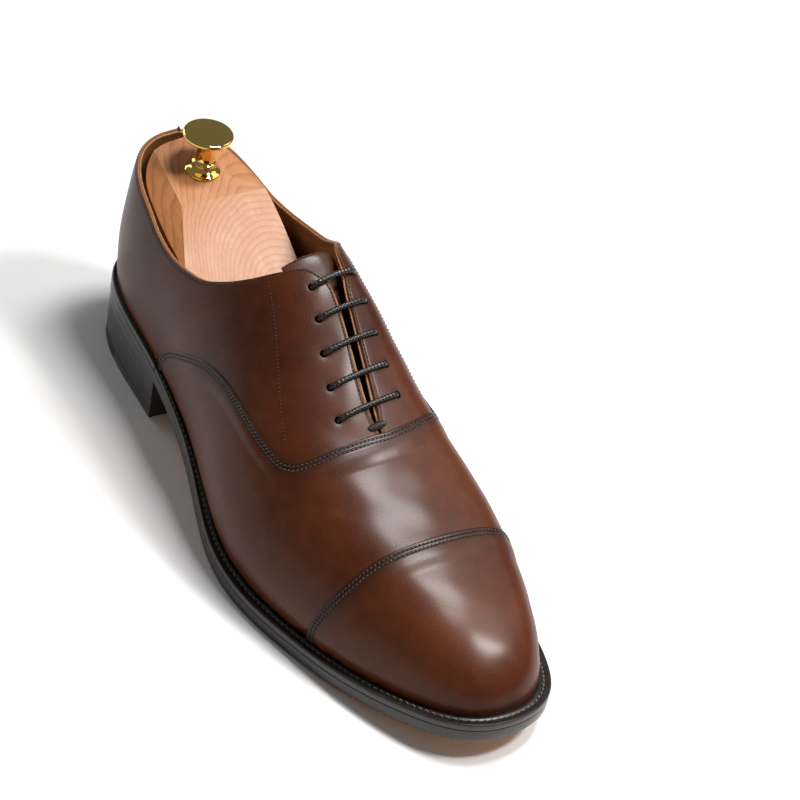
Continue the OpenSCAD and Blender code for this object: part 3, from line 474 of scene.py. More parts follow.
def cut_holes(ob, side):
    """Punches the eyelet holes through a piece with real cylinders."""
    verts, faces, n, k = [], [], 24, 0
    for c, d in eyes_on(side):
        e1 = unit(np.cross(d, [0.2, 0.1, 1.0]))
        e2 = np.cross(d, e1)
        ang = np.linspace(0, 2 * math.pi, n, endpoint=False)
        ring = HOLE_D / 2 * (np.cos(ang)[:, None] * e1 + np.sin(ang)[:, None] * e2)
        verts += [c + ring - 4.2 * d, c + ring + 3 * d]
        j = np.arange(n)
        faces.append(np.stack([k + j, k + (j + 1) % n, k + n + (j + 1) % n, k + n + j], -1))
        k += 2 * n
    bm = bmesh.new()
    vs = [bm.verts.new(Vector(p * MM)) for p in np.vstack(verts)]
    for f in np.vstack(faces):
        bm.faces.new([vs[q] for q in f])
    for q in range(0, k, 2 * n):
        bm.faces.new([vs[q + j] for j in range(n)][::-1])
        bm.faces.new([vs[q + n + j] for j in range(n)])
    bmesh.ops.recalc_face_normals(bm, faces=bm.faces)
    me = bpy.data.meshes.new("cutter")
    bm.to_mesh(me)
    bm.free()
    cutter = bpy.data.objects.new("cutter", me)
    collection.objects.link(cutter)
    mod = ob.modifiers.new("holes", "BOOLEAN")
    mod.operation, mod.object, mod.solver = "DIFFERENCE", cutter, "MANIFOLD"
    bpy.context.view_layer.update()
    done = bpy.data.meshes.new_from_object(ob.evaluated_get(bpy.context.evaluated_depsgraph_get()))
    ob.modifiers.clear()
    old = ob.data
    ob.data = done
    done.name = ob.name
    bpy.data.objects.remove(cutter)
    bpy.data.meshes.remove(old)
    bpy.data.meshes.remove(me)


HIGH_ROWS = [0, 0.07, 0.16, 0.3, 0.5, 0.8, 1.1, 1.3, 1.5, 1.7, 1.9, 2.3, 2.8, 3.4, 4.2, 5]


def quarter(side):
    a, b = (quarter_low, quarter_low_m)[side], (quarter_high, quarter_high_m)[side]
    a, b = (a, b) if side == 0 else (mirror(a), mirror(b))
    u, v, da, db = rows_between(a, b, UNDER_ROWS, HIGH_ROWS, 84)
    covered = (np.arange(len(a)) >= 100)[:, None]
    hidden = np.where(covered, skived(da), 0)
    base = UPPER_OUT - hidden
    outer = base - rounded(db, 1.2, 0.6) - groove(db, (1.6,), 0.13, 0.35)
    inner = base - (UPPER_T - hidden)
    p = last_point(u, v)
    wave = undulate(p) * smooth(0, 12, np.minimum(da, db))
    dip = pucker(on_last(u, v, 1.0) + 2.2 * last_normal(u, v), side)
    po = upper_point(u, v, outer + wave - dip)
    pi = upper_point(u, v, np.minimum(inner, outer - 0.3) + wave - dip)
    shade = 0.55 * np.exp(-(db / 0.8)**2) + np.where(covered, 0.5 * np.exp(-np.maximum(da - 6.5, 0) / 2.5), 0)
    # Painted shade: the leather is darkened in and round each eyelet hole, as if the hole and its dimple lay
    # in shadow.
    for c, _ in eyes_on(side):
        shade = shade + 0.8 * np.exp(-(np.linalg.norm(po - c, axis=-1) / 2.2)**2)
    # Painted shade: a dark disc at each end of the bar tack, standing in for the shadowed holes its thread
    # goes into.
    for e in (-TACK_HOLES, TACK_HOLES):
        shade = shade + 0.9 * np.exp(-(np.linalg.norm(po - TACK_AT - e * TACK_DIR, axis=-1) / 1.1)**2)
    # edge: lighter tan along the collar and facing edge, partly the raw cut edge's own colour and partly a
    # painted highlight along it.
    ob = shell_object(("quarter_lateral_leather", "quarter_medial_leather")[side], po, pi,
                      attributes={"shade": np.clip(shade, 0, 1), "edge": np.exp(-(db / 0.3)**2)})
    cut_holes(ob, side)
    return ob


quarters = [quarter(0), quarter(1)]

# ---- linings ----
LINING = [[112, 0], [128, 0.17], [142, 0.34], [147, 0.5]]


def to_lining(f):
    return [f[0]] + [[p[0], p[1] + 0.006] for p in f[1:] if p[0] < 146] + [[147, f[-1][1] - 0.002]]


lining_low = join(heel_feather(LINING[0][0], 112), on_seam(LINING, 64))


def quarter_lining(side):
    top = (collar_and_facing(TOP_L, to_lining(FACING_L), 112, 64),
           collar_and_facing(TOP_M, to_lining(FACING_M), 112, 64))[side]
    low = to_meeting(lining_low, side)
    a, b = (low, top) if side == 0 else (mirror(low), mirror(top))
    u, v, _, db = rows_between(a, b, [0, 1, 3], [0, 0.1, 0.25, 0.5, 0.9, 1.4, 2, 3, 4, 5, 6.5, 8, 10], 30)
    drawn = 1.12 * (1 - smooth(2, 9, db))  # against the outer leather along the collar
    p = last_point(u, v)
    rough = 0.10 * np.sin(p[..., 0] * 2.1 + p[..., 2]) * np.exp(-(db / 0.7)**2)
    outer = LINING_T + drawn - rounded(db, 0.8, 0.25)
    inner = drawn + rounded(db, 0.8, 0.3) + rough
    # A lighter tan rim along the lining's top edge, passed on as the edge attribute: a painted highlight.
    shade = np.exp(-(db / 0.8)**2)
    ob = shell_object(("quarter_lining_lateral_leather", "quarter_lining_medial_leather")[side],
                      upper_point(u, v, outer), upper_point(u, v, inner), attributes={"edge": shade})
    cut_holes(ob, side)
    return ob


linings = [quarter_lining(0), quarter_lining(1)]


TONGUE_OFF, TONGUE_T = -5.3, 1.8  # its underside from the last, its thickness


def tongue_piece():
    x = np.linspace(76, 157, 120)
    a = np.c_[u_at(x, 0.38), np.full(len(x), 0.38)]
    b = np.c_[u_at(x, 0.6), np.full(len(x), 0.6)]
    near = [0, 0.1, 0.3, 0.7, 1.3]
    u, v, da, db = rows_between(a, b, near, near, 50)
    end = np.arange(len(x))[:, None] * 0.73
    e = np.minimum(np.minimum(da, db), end)
    rise = 2.2 * (1 - smooth(0, 16, end))
    outer = TONGUE_OFF + TONGUE_T + rise - rounded(e, 1.2, 0.7)
    inner = TONGUE_OFF + rise + rounded(e, 1.2, 0.7)
    wave = undulate(last_point(u, v), 0.3)
    # The shade attribute of 0.3 darkens the whole tongue: painted shade, as if it lay in the shadow between
    # the facings.
    return shell_object("tongue_leather_piece", on_last_grid(u, v, outer + wave),
                        on_last_grid(u, v, inner + wave),
                        attributes={"shade": 0.3 + 0 * da})


def on_last_grid(u, v, off):
    return last_point(u, v) + off[..., None] * last_normal(u, v)


tongue = tongue_piece()


# ---- threads ----
def capsule(length, radius, lift, sink, rings=7, sides=7, slant=0.0):
    """One stitch along X, arched up out of the leather: points (m, 3) with Z the leather's normal."""
    x = np.linspace(-1, 1, rings)
    r = radius * np.sqrt(np.maximum(1 - np.abs(x)**3.2, 0.03))
    z = lift * (1 - x**2) - sink * np.abs(x)**3
    ang = np.linspace(0, 2 * math.pi, sides, endpoint=False)
    pts = np.stack([np.repeat(x * length / 2, sides), (x[:, None] * slant + r[:, None] * np.cos(ang)).ravel(),
                    (z[:, None] + 0.75 * r[:, None] * np.sin(ang)).ravel()], 1)
    return pts, rings, sides


def place_many(name, template, rings, sides, origins, tangents, normals):
    n = len(origins)
    b = unit(np.cross(normals, tangents))
    w = unit(np.cross(tangents, b))
    verts = (origins[:, None] + template[None, :, :1] * tangents[:, None]
             + template[None, :, 1:2] * b[:, None]
             + template[None, :, 2:] * w[:, None]).reshape(-1, 3)
    q = grid_quads(rings, sides, wrap=True)
    first, last = np.arange(sides)[None], (np.arange(sides) + (rings - 1) * sides)[None]
    if volume_sign(template, q) < 0:
        q, last = q[:, ::-1], last[:, ::-1]
    else:
        first = first[:, ::-1]
    k = (np.arange(n) * len(template))[:, None, None]
    return mesh_object(name, verts, [(q[None] + k).reshape(-1, 4), (first[None] + k).reshape(-1, sides),
                                     (last[None] + k).reshape(-1, sides)], None)


def stitches(name, paths, pitch, length, radius, lift=0.1, sink=0.35, slant=0.0):
    """Rows of separate stitches along paths of (points, normals) in mm."""
    o, t, nn = [], [], []
    for p, n in paths:
        s = np.r_[0, np.cumsum(np.linalg.norm(np.diff(p, axis=0), axis=1))]
        count = max(2, int(round(s[-1] / pitch)))
        at = (np.arange(count) + 0.5) * s[-1] / count
        c = np.stack([np.interp(at, s, p[:, k]) for k in range(3)], 1)
        e = np.stack([np.interp(at + 0.3, s, p[:, k]) - np.interp(at - 0.3, s, p[:, k]) for k in range(3)], 1)
        o.append(c)
        t.append(unit(e))
        nn.append(unit(np.stack([np.interp(at, s, n[:, k]) for k in range(3)], 1)))
    template, rings, sides = capsule(length, radius, lift, sink, slant=slant)
    return place_many(name, template, rings, sides, np.vstack(o), np.vstack(t), np.vstack(nn))


def rail(a, b, d, off):
    """The line d mm inside the border a, towards b, as points and normals at a height off the last."""
    u, v, _, _ = rows_between(a, b, [0, d, d + 0.5], [0, 0.1], 1)
    u, v = u[:, 1], v[:, 1]
    p = last_point(u, v)
    wave = undulate(p) * smooth(0, 12, np.full(len(u), d))
    n = last_normal(u, v)
    return upper_point(u, v, off + wave), n


def part(path, k0, k1):
    p, n = path
    return p[k0:len(p) - k1], n[k0:len(n) - k1]


seam_off = UPPER_OUT + STEP - 0.12


def seam_threads(name, a, b, trim):
    """The two rows of a lapped seam, trim points short of its ends."""
    return stitches(name, [part(rail(a, b, d, seam_off), trim, trim) for d in ROWS_AT],
                    pitch=1.85, length=1.5, radius=0.34, lift=0.2, sink=0.3, slant=0.2)


cap_threads = seam_threads("cap_seam_stitches", cap_back, cap_front, 3)
vamp_threads = seam_threads("vamp_seam_stitches", vamp_back, vamp_front, 4)


def facing_row(side):
    c = on_seam(FACING_STITCH, 160)
    c = c if side == 0 else mirror(c)
    p = last_point(c[:, 0], c[:, 1])
    n = last_normal(c[:, 0], c[:, 1])
    rows = [(p + (UPPER_OUT + undulate(p) + 0.02)[:, None] * n, n)]
    a, b = (quarter_high, quarter_low) if side == 0 else (mirror(quarter_high_m), mirror(quarter_low_m))
    rows.append(part(rail(a, b, 1.6, UPPER_OUT + 0.02), 4, 60))
    return rows


facing_threads = [stitches(n, facing_row(k), 1.7, 1.05, 0.21, 0.12, 0.25)
                  for k, n in enumerate(("facing_stitches_lateral", "facing_stitches_medial"))]

# ---- the lace, one cord through all the holes ----
LACE_D, RUN, OVER = 2.5, -2.0, UPPER_OUT + 1.25 + 0.1


def eye(k, side, off):
    return on_last(*eyelet_uv(k, side), off)


def inside(side, *at):
    """Points of the lace inside the shoe: eyelet number and distance towards the facing's edge."""
    return [on_last(*eyelet_uv(k, side, d), RUN) for k, d in at]


def across(k, s, off):
    a, b = np.array(eyelet_uv(k, 0)), np.array(eyelet_uv(k, 1))
    p = a + (b - a) * s
    return on_last(p[0], p[1], off)


def bar_points(k, start):
    q = [eye(k, 0, RUN + 0.3), eye(k, 0, 1.4), across(k, 0.035, OVER - 1.15), across(k, 0.11, OVER - 0.1)]
    q += [across(k, s, OVER + 0.25 * math.sin(math.pi * s)) for s in (0.25, 0.5, 0.75)]
    q += [across(k, 0.89, OVER - 0.1), across(k, 0.965, OVER - 1.15), eye(k, 1, 1.4), eye(k, 1, RUN + 0.3)]
    return q if start == 0 else q[::-1]


lace_points = np.array(
    inside(1, (2.65, 3.4), (2.85, 3.0)) + bar_points(3, 1)
    + inside(0, (2.8, 1.5), (2.4, 3.0), (2, 3.2), (1.6, 3.0), (1.2, 1.5)) + bar_points(1, 0)
    + inside(1, (0.75, 0.3), (0.25, 0.3)) + bar_points(0, 1)
    + inside(0, (0.2, -1.5), (0.6, -3.0), (1, -3.2), (1.4, -3.0), (1.8, -1.5)) + bar_points(2, 0)
    + inside(1, (2.2, -1.5), (2.6, -3.0), (3, -3.2), (3.4, -3.0), (3.8, -1.5)) + bar_points(4, 1)
    + inside(0, (3.85, -3.0), (3.65, -3.6)))


def resample(p, step):
    s = np.r_[0, np.cumsum(np.linalg.norm(np.diff(p, axis=0), axis=1))]
    at = np.linspace(0, s[-1], int(s[-1] / step) + 1)
    return np.stack([np.interp(at, s, p[:, k]) for k in range(3)], 1)


def frames(p):
    """Tangents and two normals carried along a path without twist."""
    t = unit(np.gradient(p, axis=0))
    n = np.zeros_like(p)
    n[0] = unit(np.cross(t[0], [0.3, 0.2, 1.0]))
    for i in range(1, len(p)):
        n[i] = unit(n[i - 1] - (n[i - 1] @ t[i]) * t[i])
    return t, n, np.cross(t, n)


def braided(name, points, d, step=0.16, sides=28, strands=8, pitch=3.4, depth=0.11):
    """A round braid: strands wind both ways round the cord and cross over and under."""
    p = resample(catmull(points, np.linspace(0, len(points) - 1, 12 * len(points))), step)
    _, n, b = frames(p)
    s = (np.arange(len(p)) * step)[:, None]
    a = np.linspace(0, 2 * math.pi, sides, endpoint=False)[None]
    turn = 2 * math.pi * s / pitch
    k = strands / 2
    one, two = np.cos(k * (a + turn / k * 2)), np.cos(k * (a - turn / k * 2))
    r = d / 2 * (1 - depth) + d / 2 * depth * np.maximum(one, two)
    around = np.cos(a)[..., None] * n[:, None] + np.sin(a)[..., None] * b[:, None]
    return bar_object(name, p[:, None] + r[..., None] * around, None)


lace = braided("waxed_lace_cord", lace_points, LACE_D - 0.1)


def tack():
    """The bar tack at the throat: a thread bar wound round, its ends sunk in two small holes."""
    n, y = TACK_N, TACK_DIR
    c, x = TACK_AT + 0.35 * n, np.cross(y, n)
    a = np.linspace(0, 2 * math.pi, 18, endpoint=False)
    rings = []
    for q in np.linspace(-1, 1, 120):
        twist = q * 26
        r = 1.25 * math.sqrt(max(1 - abs(q)**3, 0.05))
        o = c + y * (q * 4.9) + n * (0.35 - 1.7 * abs(q)**3.5)
        w = r * (1 + 0.13 * np.cos(2 * (a - twist)))
        rings.append(o + w[:, None] * (np.cos(a)[:, None] * x * 1.15 + np.sin(a)[:, None] * n * 0.8))
    return bar_object("throat_bar_tack_thread", np.array(rings), None)


bar_tack = tack()

# ---- welt, rand, outsole and heel, all swept along the feather edge ----
UPPER_SINK, WELT_T, HEEL_OUT, WELT_OUT, BREAST_X = 0.6, 3.2, 5.4, 9.0, 38.0
WELT_LOW = UPPER_SINK - WELT_T + 0.02
_q = last_point(np.linspace(0, 1, 61), 0.0)
_back = (_q[6, 2] - _q[0, 2]) / (_q[6, 0] - _q[0, 0])
_front = (_q[60, 2] - _q[54, 2]) / (_q[60, 0] - _q[54, 0])
SWEEP = np.vstack([[_q[0, 0] - 30, _q[0, 2] - 30 * _back], _q[:, [0, 2]],
                   [_q[60, 0] + 30, _q[60, 2] + 30 * _front]])


def edge(u, side, off, dz):
    """Points off mm outside the feather edge in plan, dz above its sweep."""
    u, side = np.broadcast_arrays(np.asarray(u, float), np.asarray(side, float))
    p = last_point(u, side)
    t = last_point(np.minimum(u + EPS, 1), side) - last_point(np.maximum(u - EPS, 0), side)
    s = np.where(side == 0, 1.0, -1.0)
    d = unit(np.stack([s * t[..., 1], -s * t[..., 0]], -1))
    d[u <= 0] = [-1, 0]
    d[u >= 1] = [1, 0]
    x = p[..., 0] + off * d[..., 0]
    return np.stack([x, p[..., 1] + off * d[..., 1], np.interp(x, SWEEP[:, 0], SWEEP[:, 1]) + dz], -1)


def edge_out(u):
    return HEEL_OUT + (WELT_OUT - HEEL_OUT) * smooth(45, 135, last_point(u, 0.0)[..., 0])


def welt_in(u):
    x = last_point(u, 0.0)[..., 0]
    return UPPER_OUT + 0.35 + 0.8 * smooth(30, 60, x) * (1 - smooth(125, 150, x))


def u_edge(x, side, off):
    """The u at which the edge, moved out by off mm, reaches a given x."""
    lo, hi = 0.0, 1.0
    for _ in range(22):
        m = (lo + hi) / 2
        lo, hi = (m, hi) if edge(m, side, off, 0)[..., 0] < x else (lo, m)
    return (lo + hi) / 2


breast_l, breast_m = u_edge(BREAST_X, 0, HEEL_OUT), u_edge(BREAST_X, 1, HEEL_OUT)


def toe_path(ul, um, n=260):
    """Stations u, side from one waist round the toe to the other."""
    f = np.linspace(0, 1, n)
    a = ul + (1 - ul) * f
    b = um + (1 - um) * f
    return np.r_[a, b[-2::-1]], np.r_[np.zeros(n), np.ones(n - 1)]


def heel_path(ul, um, n=150):
    f = np.linspace(0, 1, n)
    return np.r_[um * f[::-1], ul * f[1:]], np.r_[np.ones(n), np.zeros(n - 1)]


def strip_object(name, path, profile):
    """A strip along the edge; profile(u) gives a list of (offset, height) arrays."""
    u, side = path
    rings = np.stack([edge(u, side, o, z) for o, z in profile(u)], 1)
    return bar_object(name, rings, 35)


def welt_profile(u):
    o, i = edge_out(u), welt_in(u)
    mid = i + 0.42 * (o - i)
    z0, z1 = WELT_LOW + 0 * o, UPPER_SINK + 0 * o
    return [(-3.9 + 0 * o, z0), (o - 0.35, z0), (o - 0.12, z0 + 0.08), (o - 0.02, z0 + 0.3),
            (o + 0.04, z0 + 0.9), (o + 0.05, z0 + 1.6), (o + 0.02, z1 - 0.75), (o - 0.06, z1 - 0.4),
            (o - 0.25, z1 - 0.12), (o - 0.55, z1),
            (o - 0.95, z1 - 0.03), (o - 1.3, z1 - 0.16), (mid + 1.0, z1 - 0.18), (mid + 0.65, z1 - 0.3),
            (mid + 0.3, z1 - 0.5), (mid - 0.3, z1 - 0.5), (mid - 0.65, z1 - 0.3), (mid - 1.0, z1 - 0.1),
            (i + 0.35, z1 - 0.02), (i + 0.08, z1 - 0.15), (i, z1 - 0.5), (-3.9 + 0 * o, -0.12 + 0 * o)]


welt = strip_object("welt_strip", toe_path(breast_l + 0.001, breast_m + 0.001), welt_profile)
rand = strip_object("heel_rand_strip", heel_path(breast_l - 0.001, breast_m - 0.001), welt_profile)


def welt_stitches():
    u, side = toe_path(breast_l + 0.012, breast_m + 0.012, 400)
    o, i = edge_out(u), welt_in(u)
    mid = i + 0.42 * (o - i)
    p = edge(u, side, mid, UPPER_SINK - 0.34)
    t = np.gradient(p, axis=0)
    out = edge(u, side, mid + 1, UPPER_SINK - 0.34) - p
    n = unit(np.cross(t, out))
    n[n[:, 2] < 0] *= -1
    return stitches("welt_stitches", [(p, n)], 2.95, 2.35, 0.44, 0.28, 0.45)


welt_threads = welt_stitches()


def plate_object(name, ul, um, off, z0, z1, r=0.4):
    """A plate that follows the sole's sweep, its edges a little rounded."""
    prof = [(-r, 0), (-0.35 * r, 0.1 * r), (-0.08 * r, 0.45 * r), (0, r),
            (0.04, 0.5 * (z1 - z0)), (0, z1 - z0 - r),
            (-0.08 * r, z1 - z0 - 0.45 * r), (-0.35 * r, z1 - z0 - 0.1 * r), (-r, z1 - z0)]
    lat = [edge(ul, 0, off + a, z0 + b) for a, b in prof]
    med = [edge(um, 1, off + a, z0 + b) for a, b in prof[::-1]]
    return bar_object(name, np.stack(lat + med, 1), 35)


u_sole = np.r_[0.0005, np.linspace(0.003, 0.15, 50), np.linspace(0.155, 0.85, 200),
               np.linspace(0.854, 0.997, 60), 0.9995]
outsole = plate_object("outsole_leather", u_sole, u_sole, edge_out(u_sole), -SOLE_T, WELT_LOW - 0.06)

TOP_PIECE_T, SEAT_LOW, LIFTS = 6.0, 17.5, 3
LIFT_T = (SEAT_LOW - TOP_PIECE_T) / LIFTS


def heel_ring(off, z, u0=0.0, u1=None, n=90):
    """The heel's outline at a height, or the part of it between two stations."""
    ul, um = (breast_l, breast_m) if u1 is None else u1
    f = np.linspace(0, 1, n)
    if u0 == 0.0:
        p = np.vstack([edge(ul * f[::-1], 0, off, 0), edge(um * f[1:], 1, off, 0)])
    else:
        vl, vm = u0
        p = np.vstack([edge(ul + (vl - ul) * f, 0, off, 0), edge(vm + (um - vm) * f, 1, off, 0)])
    zz = p[:, 2] - SOLE_T - 0.03 if z is None else np.full(len(p), z)
    return np.c_[p[:, :2], zz]


def heel_layer(name, z0, z1, off, u0=0.0, u1=None, r=0.06):
    args = dict(u0=u0, u1=u1)
    top = z1 is None
    zt = heel_ring(off, None, **args)[:, 2] if top else z1

    def ring(o, z):
        q = heel_ring(o, 0.0, **args)
        q[:, 2] = z
        return q

    rings = [ring(off - r, z0), ring(off - 0.3 * r, z0 + 0.3 * r), ring(off, z0 + r),
             ring(off, zt - r), ring(off - 0.3 * r, zt - 0.3 * r), ring(off - r, zt)]
    return bar_object(name, rings, 35)


def lift_off(k):
    return HEEL_OUT - 0.4 - 0.12 * (LIFTS - k)


seat_lift = heel_layer("heel_seat_leather", SEAT_LOW, None, HEEL_OUT - 0.4, r=0.05)
lifts = [heel_layer(n, TOP_PIECE_T + k * LIFT_T, TOP_PIECE_T + (k + 1) * LIFT_T - 0.03, lift_off(k))
         for k, n in enumerate(("heel_lift_lower_leather", "heel_lift_middle_leather",
                                "heel_lift_upper_leather"))]
TIP_X = -3.0
tip_l, tip_m = u_edge(TIP_X, 0, lift_off(-0.4)), u_edge(TIP_X, 1, lift_off(-0.4))
top_piece = heel_layer("top_piece_leather", 0.05, TOP_PIECE_T - 0.03, lift_off(-0.4),
                       u0=(tip_l, tip_m), r=0.3)
heel_tip = heel_layer("heel_tip_rubber", 0.0, TOP_PIECE_T - 0.03, lift_off(-0.4),
                      u1=(tip_l - 0.0006, tip_m - 0.0006), r=0.3)


def lathe(name, profile, centre, sides=96, sharp=40):
    """A turned piece from (radius, height) pairs, closed on its axis."""
    p = np.asarray(profile, float)
    a = np.linspace(0, 2 * math.pi, sides, endpoint=False)
    rings = np.stack([np.stack([centre[0] + r * np.cos(a), centre[1] + r * np.sin(a),
                                np.full(sides, centre[2] + z)], 1)
                      for r, z in np.c_[np.maximum(p[:, 0], 0.0), p[:, 1]]])
    return bar_object(name, rings, sharp)


def nail_heads():
    head = [(0.01, 0.0), (0.55, 0.0), (0.8, 0.05), (0.8, 0.35), (0.01, 0.35)]
    parts = [lathe("nail", head, (x, y, 0.0), 20)
             for x, y in ((26, -22), (26, 22), (14, -24), (14, 24), (4, -25), (4, 25), (10, 0))]
    return joined("heel_nail_heads", parts)


def joined(name, parts):
    """Several objects as one."""
    bm = bmesh.new()
    for o in parts:
        bm.from_mesh(o.data)
    me = bpy.data.meshes.new(name)
    bm.to_mesh(me)
    bm.free()
    for o in parts:
        old = o.data
        bpy.data.objects.remove(o)
        bpy.data.meshes.remove(old)
    ob = bpy.data.objects.new(name, me)
    collection.objects.link(ob)
    return ob


nails = nail_heads()

# ---- shoe tree ----
HINGE_X, HINGE_Z, ARM_W, CHEEK_R, TREE_GAP = 68.0, 43.0, 12.0, 9.0, 1.2
# Points that fix the planes of the block's top: its ridge, one on the deck, one on the slope and two on
# the chamfer
RIDGE_L, RIDGE_M = np.array([5.5, -17.0, 86.0]), np.array([7.0, 21.0, 88.5])
DECK_P, SLOPE_P = np.array([-32.0, -1.0, 94.5]), np.array([39.0, 23.5, 75.5])
CHAMFER_A, CHAMFER_B = np.array([-26.0, -16.0, 91.5]), np.array([23.0, -27.5, 75.5])
BLOCK_FRONT_X, BLOCK_LOW_Z, BLOCK_HIGH_Z = HINGE_X - 14, 37.5, 106.0
KNOB_X, KNOB_Y, KNOB_SUNK = -11.0, 1.0, 1.5


def plane_normal(p, q, r):
    n = unit(np.cross(q - p, r - p))
    return n if n[2] > 0 else -n


def deck_z(x, y):
    n = plane_normal(RIDGE_L, RIDGE_M, DECK_P)
    return float(RIDGE_L[2] - (n[0] * (x - RIDGE_L[0]) + n[1] * (y - RIDGE_L[1])) / n[2])


def opening(top, side, n=90):
    c = on_seam(top[:7], n)
    c[0] = [0, top[0][1]]
    c = c if side == 0 else mirror(c)
    gap = TREE_GAP + 0.3 + side * 0.4 * smooth(-25, 10, last_point(c[:, 0], c[:, 1])[:, 0])
    return on_last_grid(c[:, 0], c[:, 1], -gap)


def cut_plane(bm, point, normal):
    """Removes what lies beyond a plane and closes the cut."""
    geom = list(bm.verts) + list(bm.edges) + list(bm.faces)
    r = bmesh.ops.bisect_plane(bm, geom=geom, plane_co=Vector(point) * MM, plane_no=Vector(normal),
                               clear_outer=True, dist=1e-7)
    edges = [e for e in r["geom_cut"] if isinstance(e, bmesh.types.BMEdge)]
    bmesh.ops.edgenet_fill(bm, edges=edges)


def heel_block():
    a, b = opening(TOP_L, 0), opening(TOP_M, 1)
    outline = np.vstack([[[BLOCK_FRONT_X, a[-1, 1]]], a[::-1, :2], b[1:, :2], [[BLOCK_FRONT_X, b[-1, 1]]]])
    bm = bmesh.new()
    low = [bm.verts.new((x * MM, y * MM, BLOCK_LOW_Z * MM)) for x, y in outline]
    high = [bm.verts.new((x * MM, y * MM, BLOCK_HIGH_Z * MM)) for x, y in outline]
    n = len(outline)
    for i in range(n):
        bm.faces.new([low[i], low[(i + 1) % n], high[(i + 1) % n], high[i]])
    bm.faces.new(low[::-1])
    bm.faces.new(high)
    bmesh.ops.recalc_face_normals(bm, faces=bm.faces)
    for third in (DECK_P, SLOPE_P):
        cut_plane(bm, RIDGE_L, plane_normal(RIDGE_L, RIDGE_M, third))
    cut_plane(bm, RIDGE_L, plane_normal(RIDGE_L, CHAMFER_A, CHAMFER_B))
    me = bpy.data.meshes.new("tree_heel_wood")
    bm.to_mesh(me)
    bm.free()
    ob = bpy.data.objects.new("tree_heel_wood", me)
    collection.objects.link(ob)
    # the arm and its knuckle
    ang = np.radians(np.linspace(-90, 90, 25))
    side = ([(BLOCK_FRONT_X - 8, HINGE_Z - CHEEK_R)]
            + [(HINGE_X + CHEEK_R * math.cos(t), HINGE_Z + CHEEK_R * math.sin(t)) for t in ang]
            + [(BLOCK_FRONT_X - 8, HINGE_Z + CHEEK_R)])
    rings = [[(x, y, z) for x, z in side] for y in (-ARM_W / 2, ARM_W / 2)]
    arm = bar_object("arm", rings, None)
    out = joined("tree_heel_wood_block", [ob, arm])
    out.data.shade_smooth()
    out.data.set_sharp_from_angle(angle=math.radians(20))
    bevel = out.modifiers.new("eased edges", "BEVEL")
    bevel.width, bevel.segments, bevel.limit_method, bevel.angle_limit = 0.0007, 3, "ANGLE", math.radians(20)
    bevel.harden_normals = True
    return out


heel_wood = heel_block()
knob_seat = (KNOB_X, KNOB_Y, deck_z(KNOB_X, KNOB_Y) - KNOB_SUNK)
FLANGE = [(0.01, 0), (7.7, 0), (7.95, 0.25), (8.0, 0.8), (7.8, 1.35), (7.2, 1.8), (6.2, 2.2), (5.3, 2.8),
          (4.8, 3.5), (4.6, 4.2), (0.01, 4.2)]
HEAD = [(0.01, 4.25), (5.1, 4.25), (5.3, 4.6), (5.3, 5.3), (5.0, 5.7), (4.2, 6.0), (3.9, 6.9), (3.8, 9.0),
        (3.82, 11.4), (4.0, 12.9), (4.6, 14.4), (5.6, 15.6), (7.2, 16.7), (9.0, 17.5), (10.3, 18.0),
        (10.85, 18.5), (11.0, 19.1), (10.95, 19.7), (10.7, 20.1), (10.3, 20.35), (9.8, 20.45),
        (8.5, 20.7), (6.5, 21.0), (4.2, 21.25), (2.0, 21.4), (0.01, 21.45)]
knob_base = lathe("tree_knob_flange", FLANGE, knob_seat, sharp=30)
knob = lathe("tree_knob_head", HEAD, knob_seat, sharp=60)


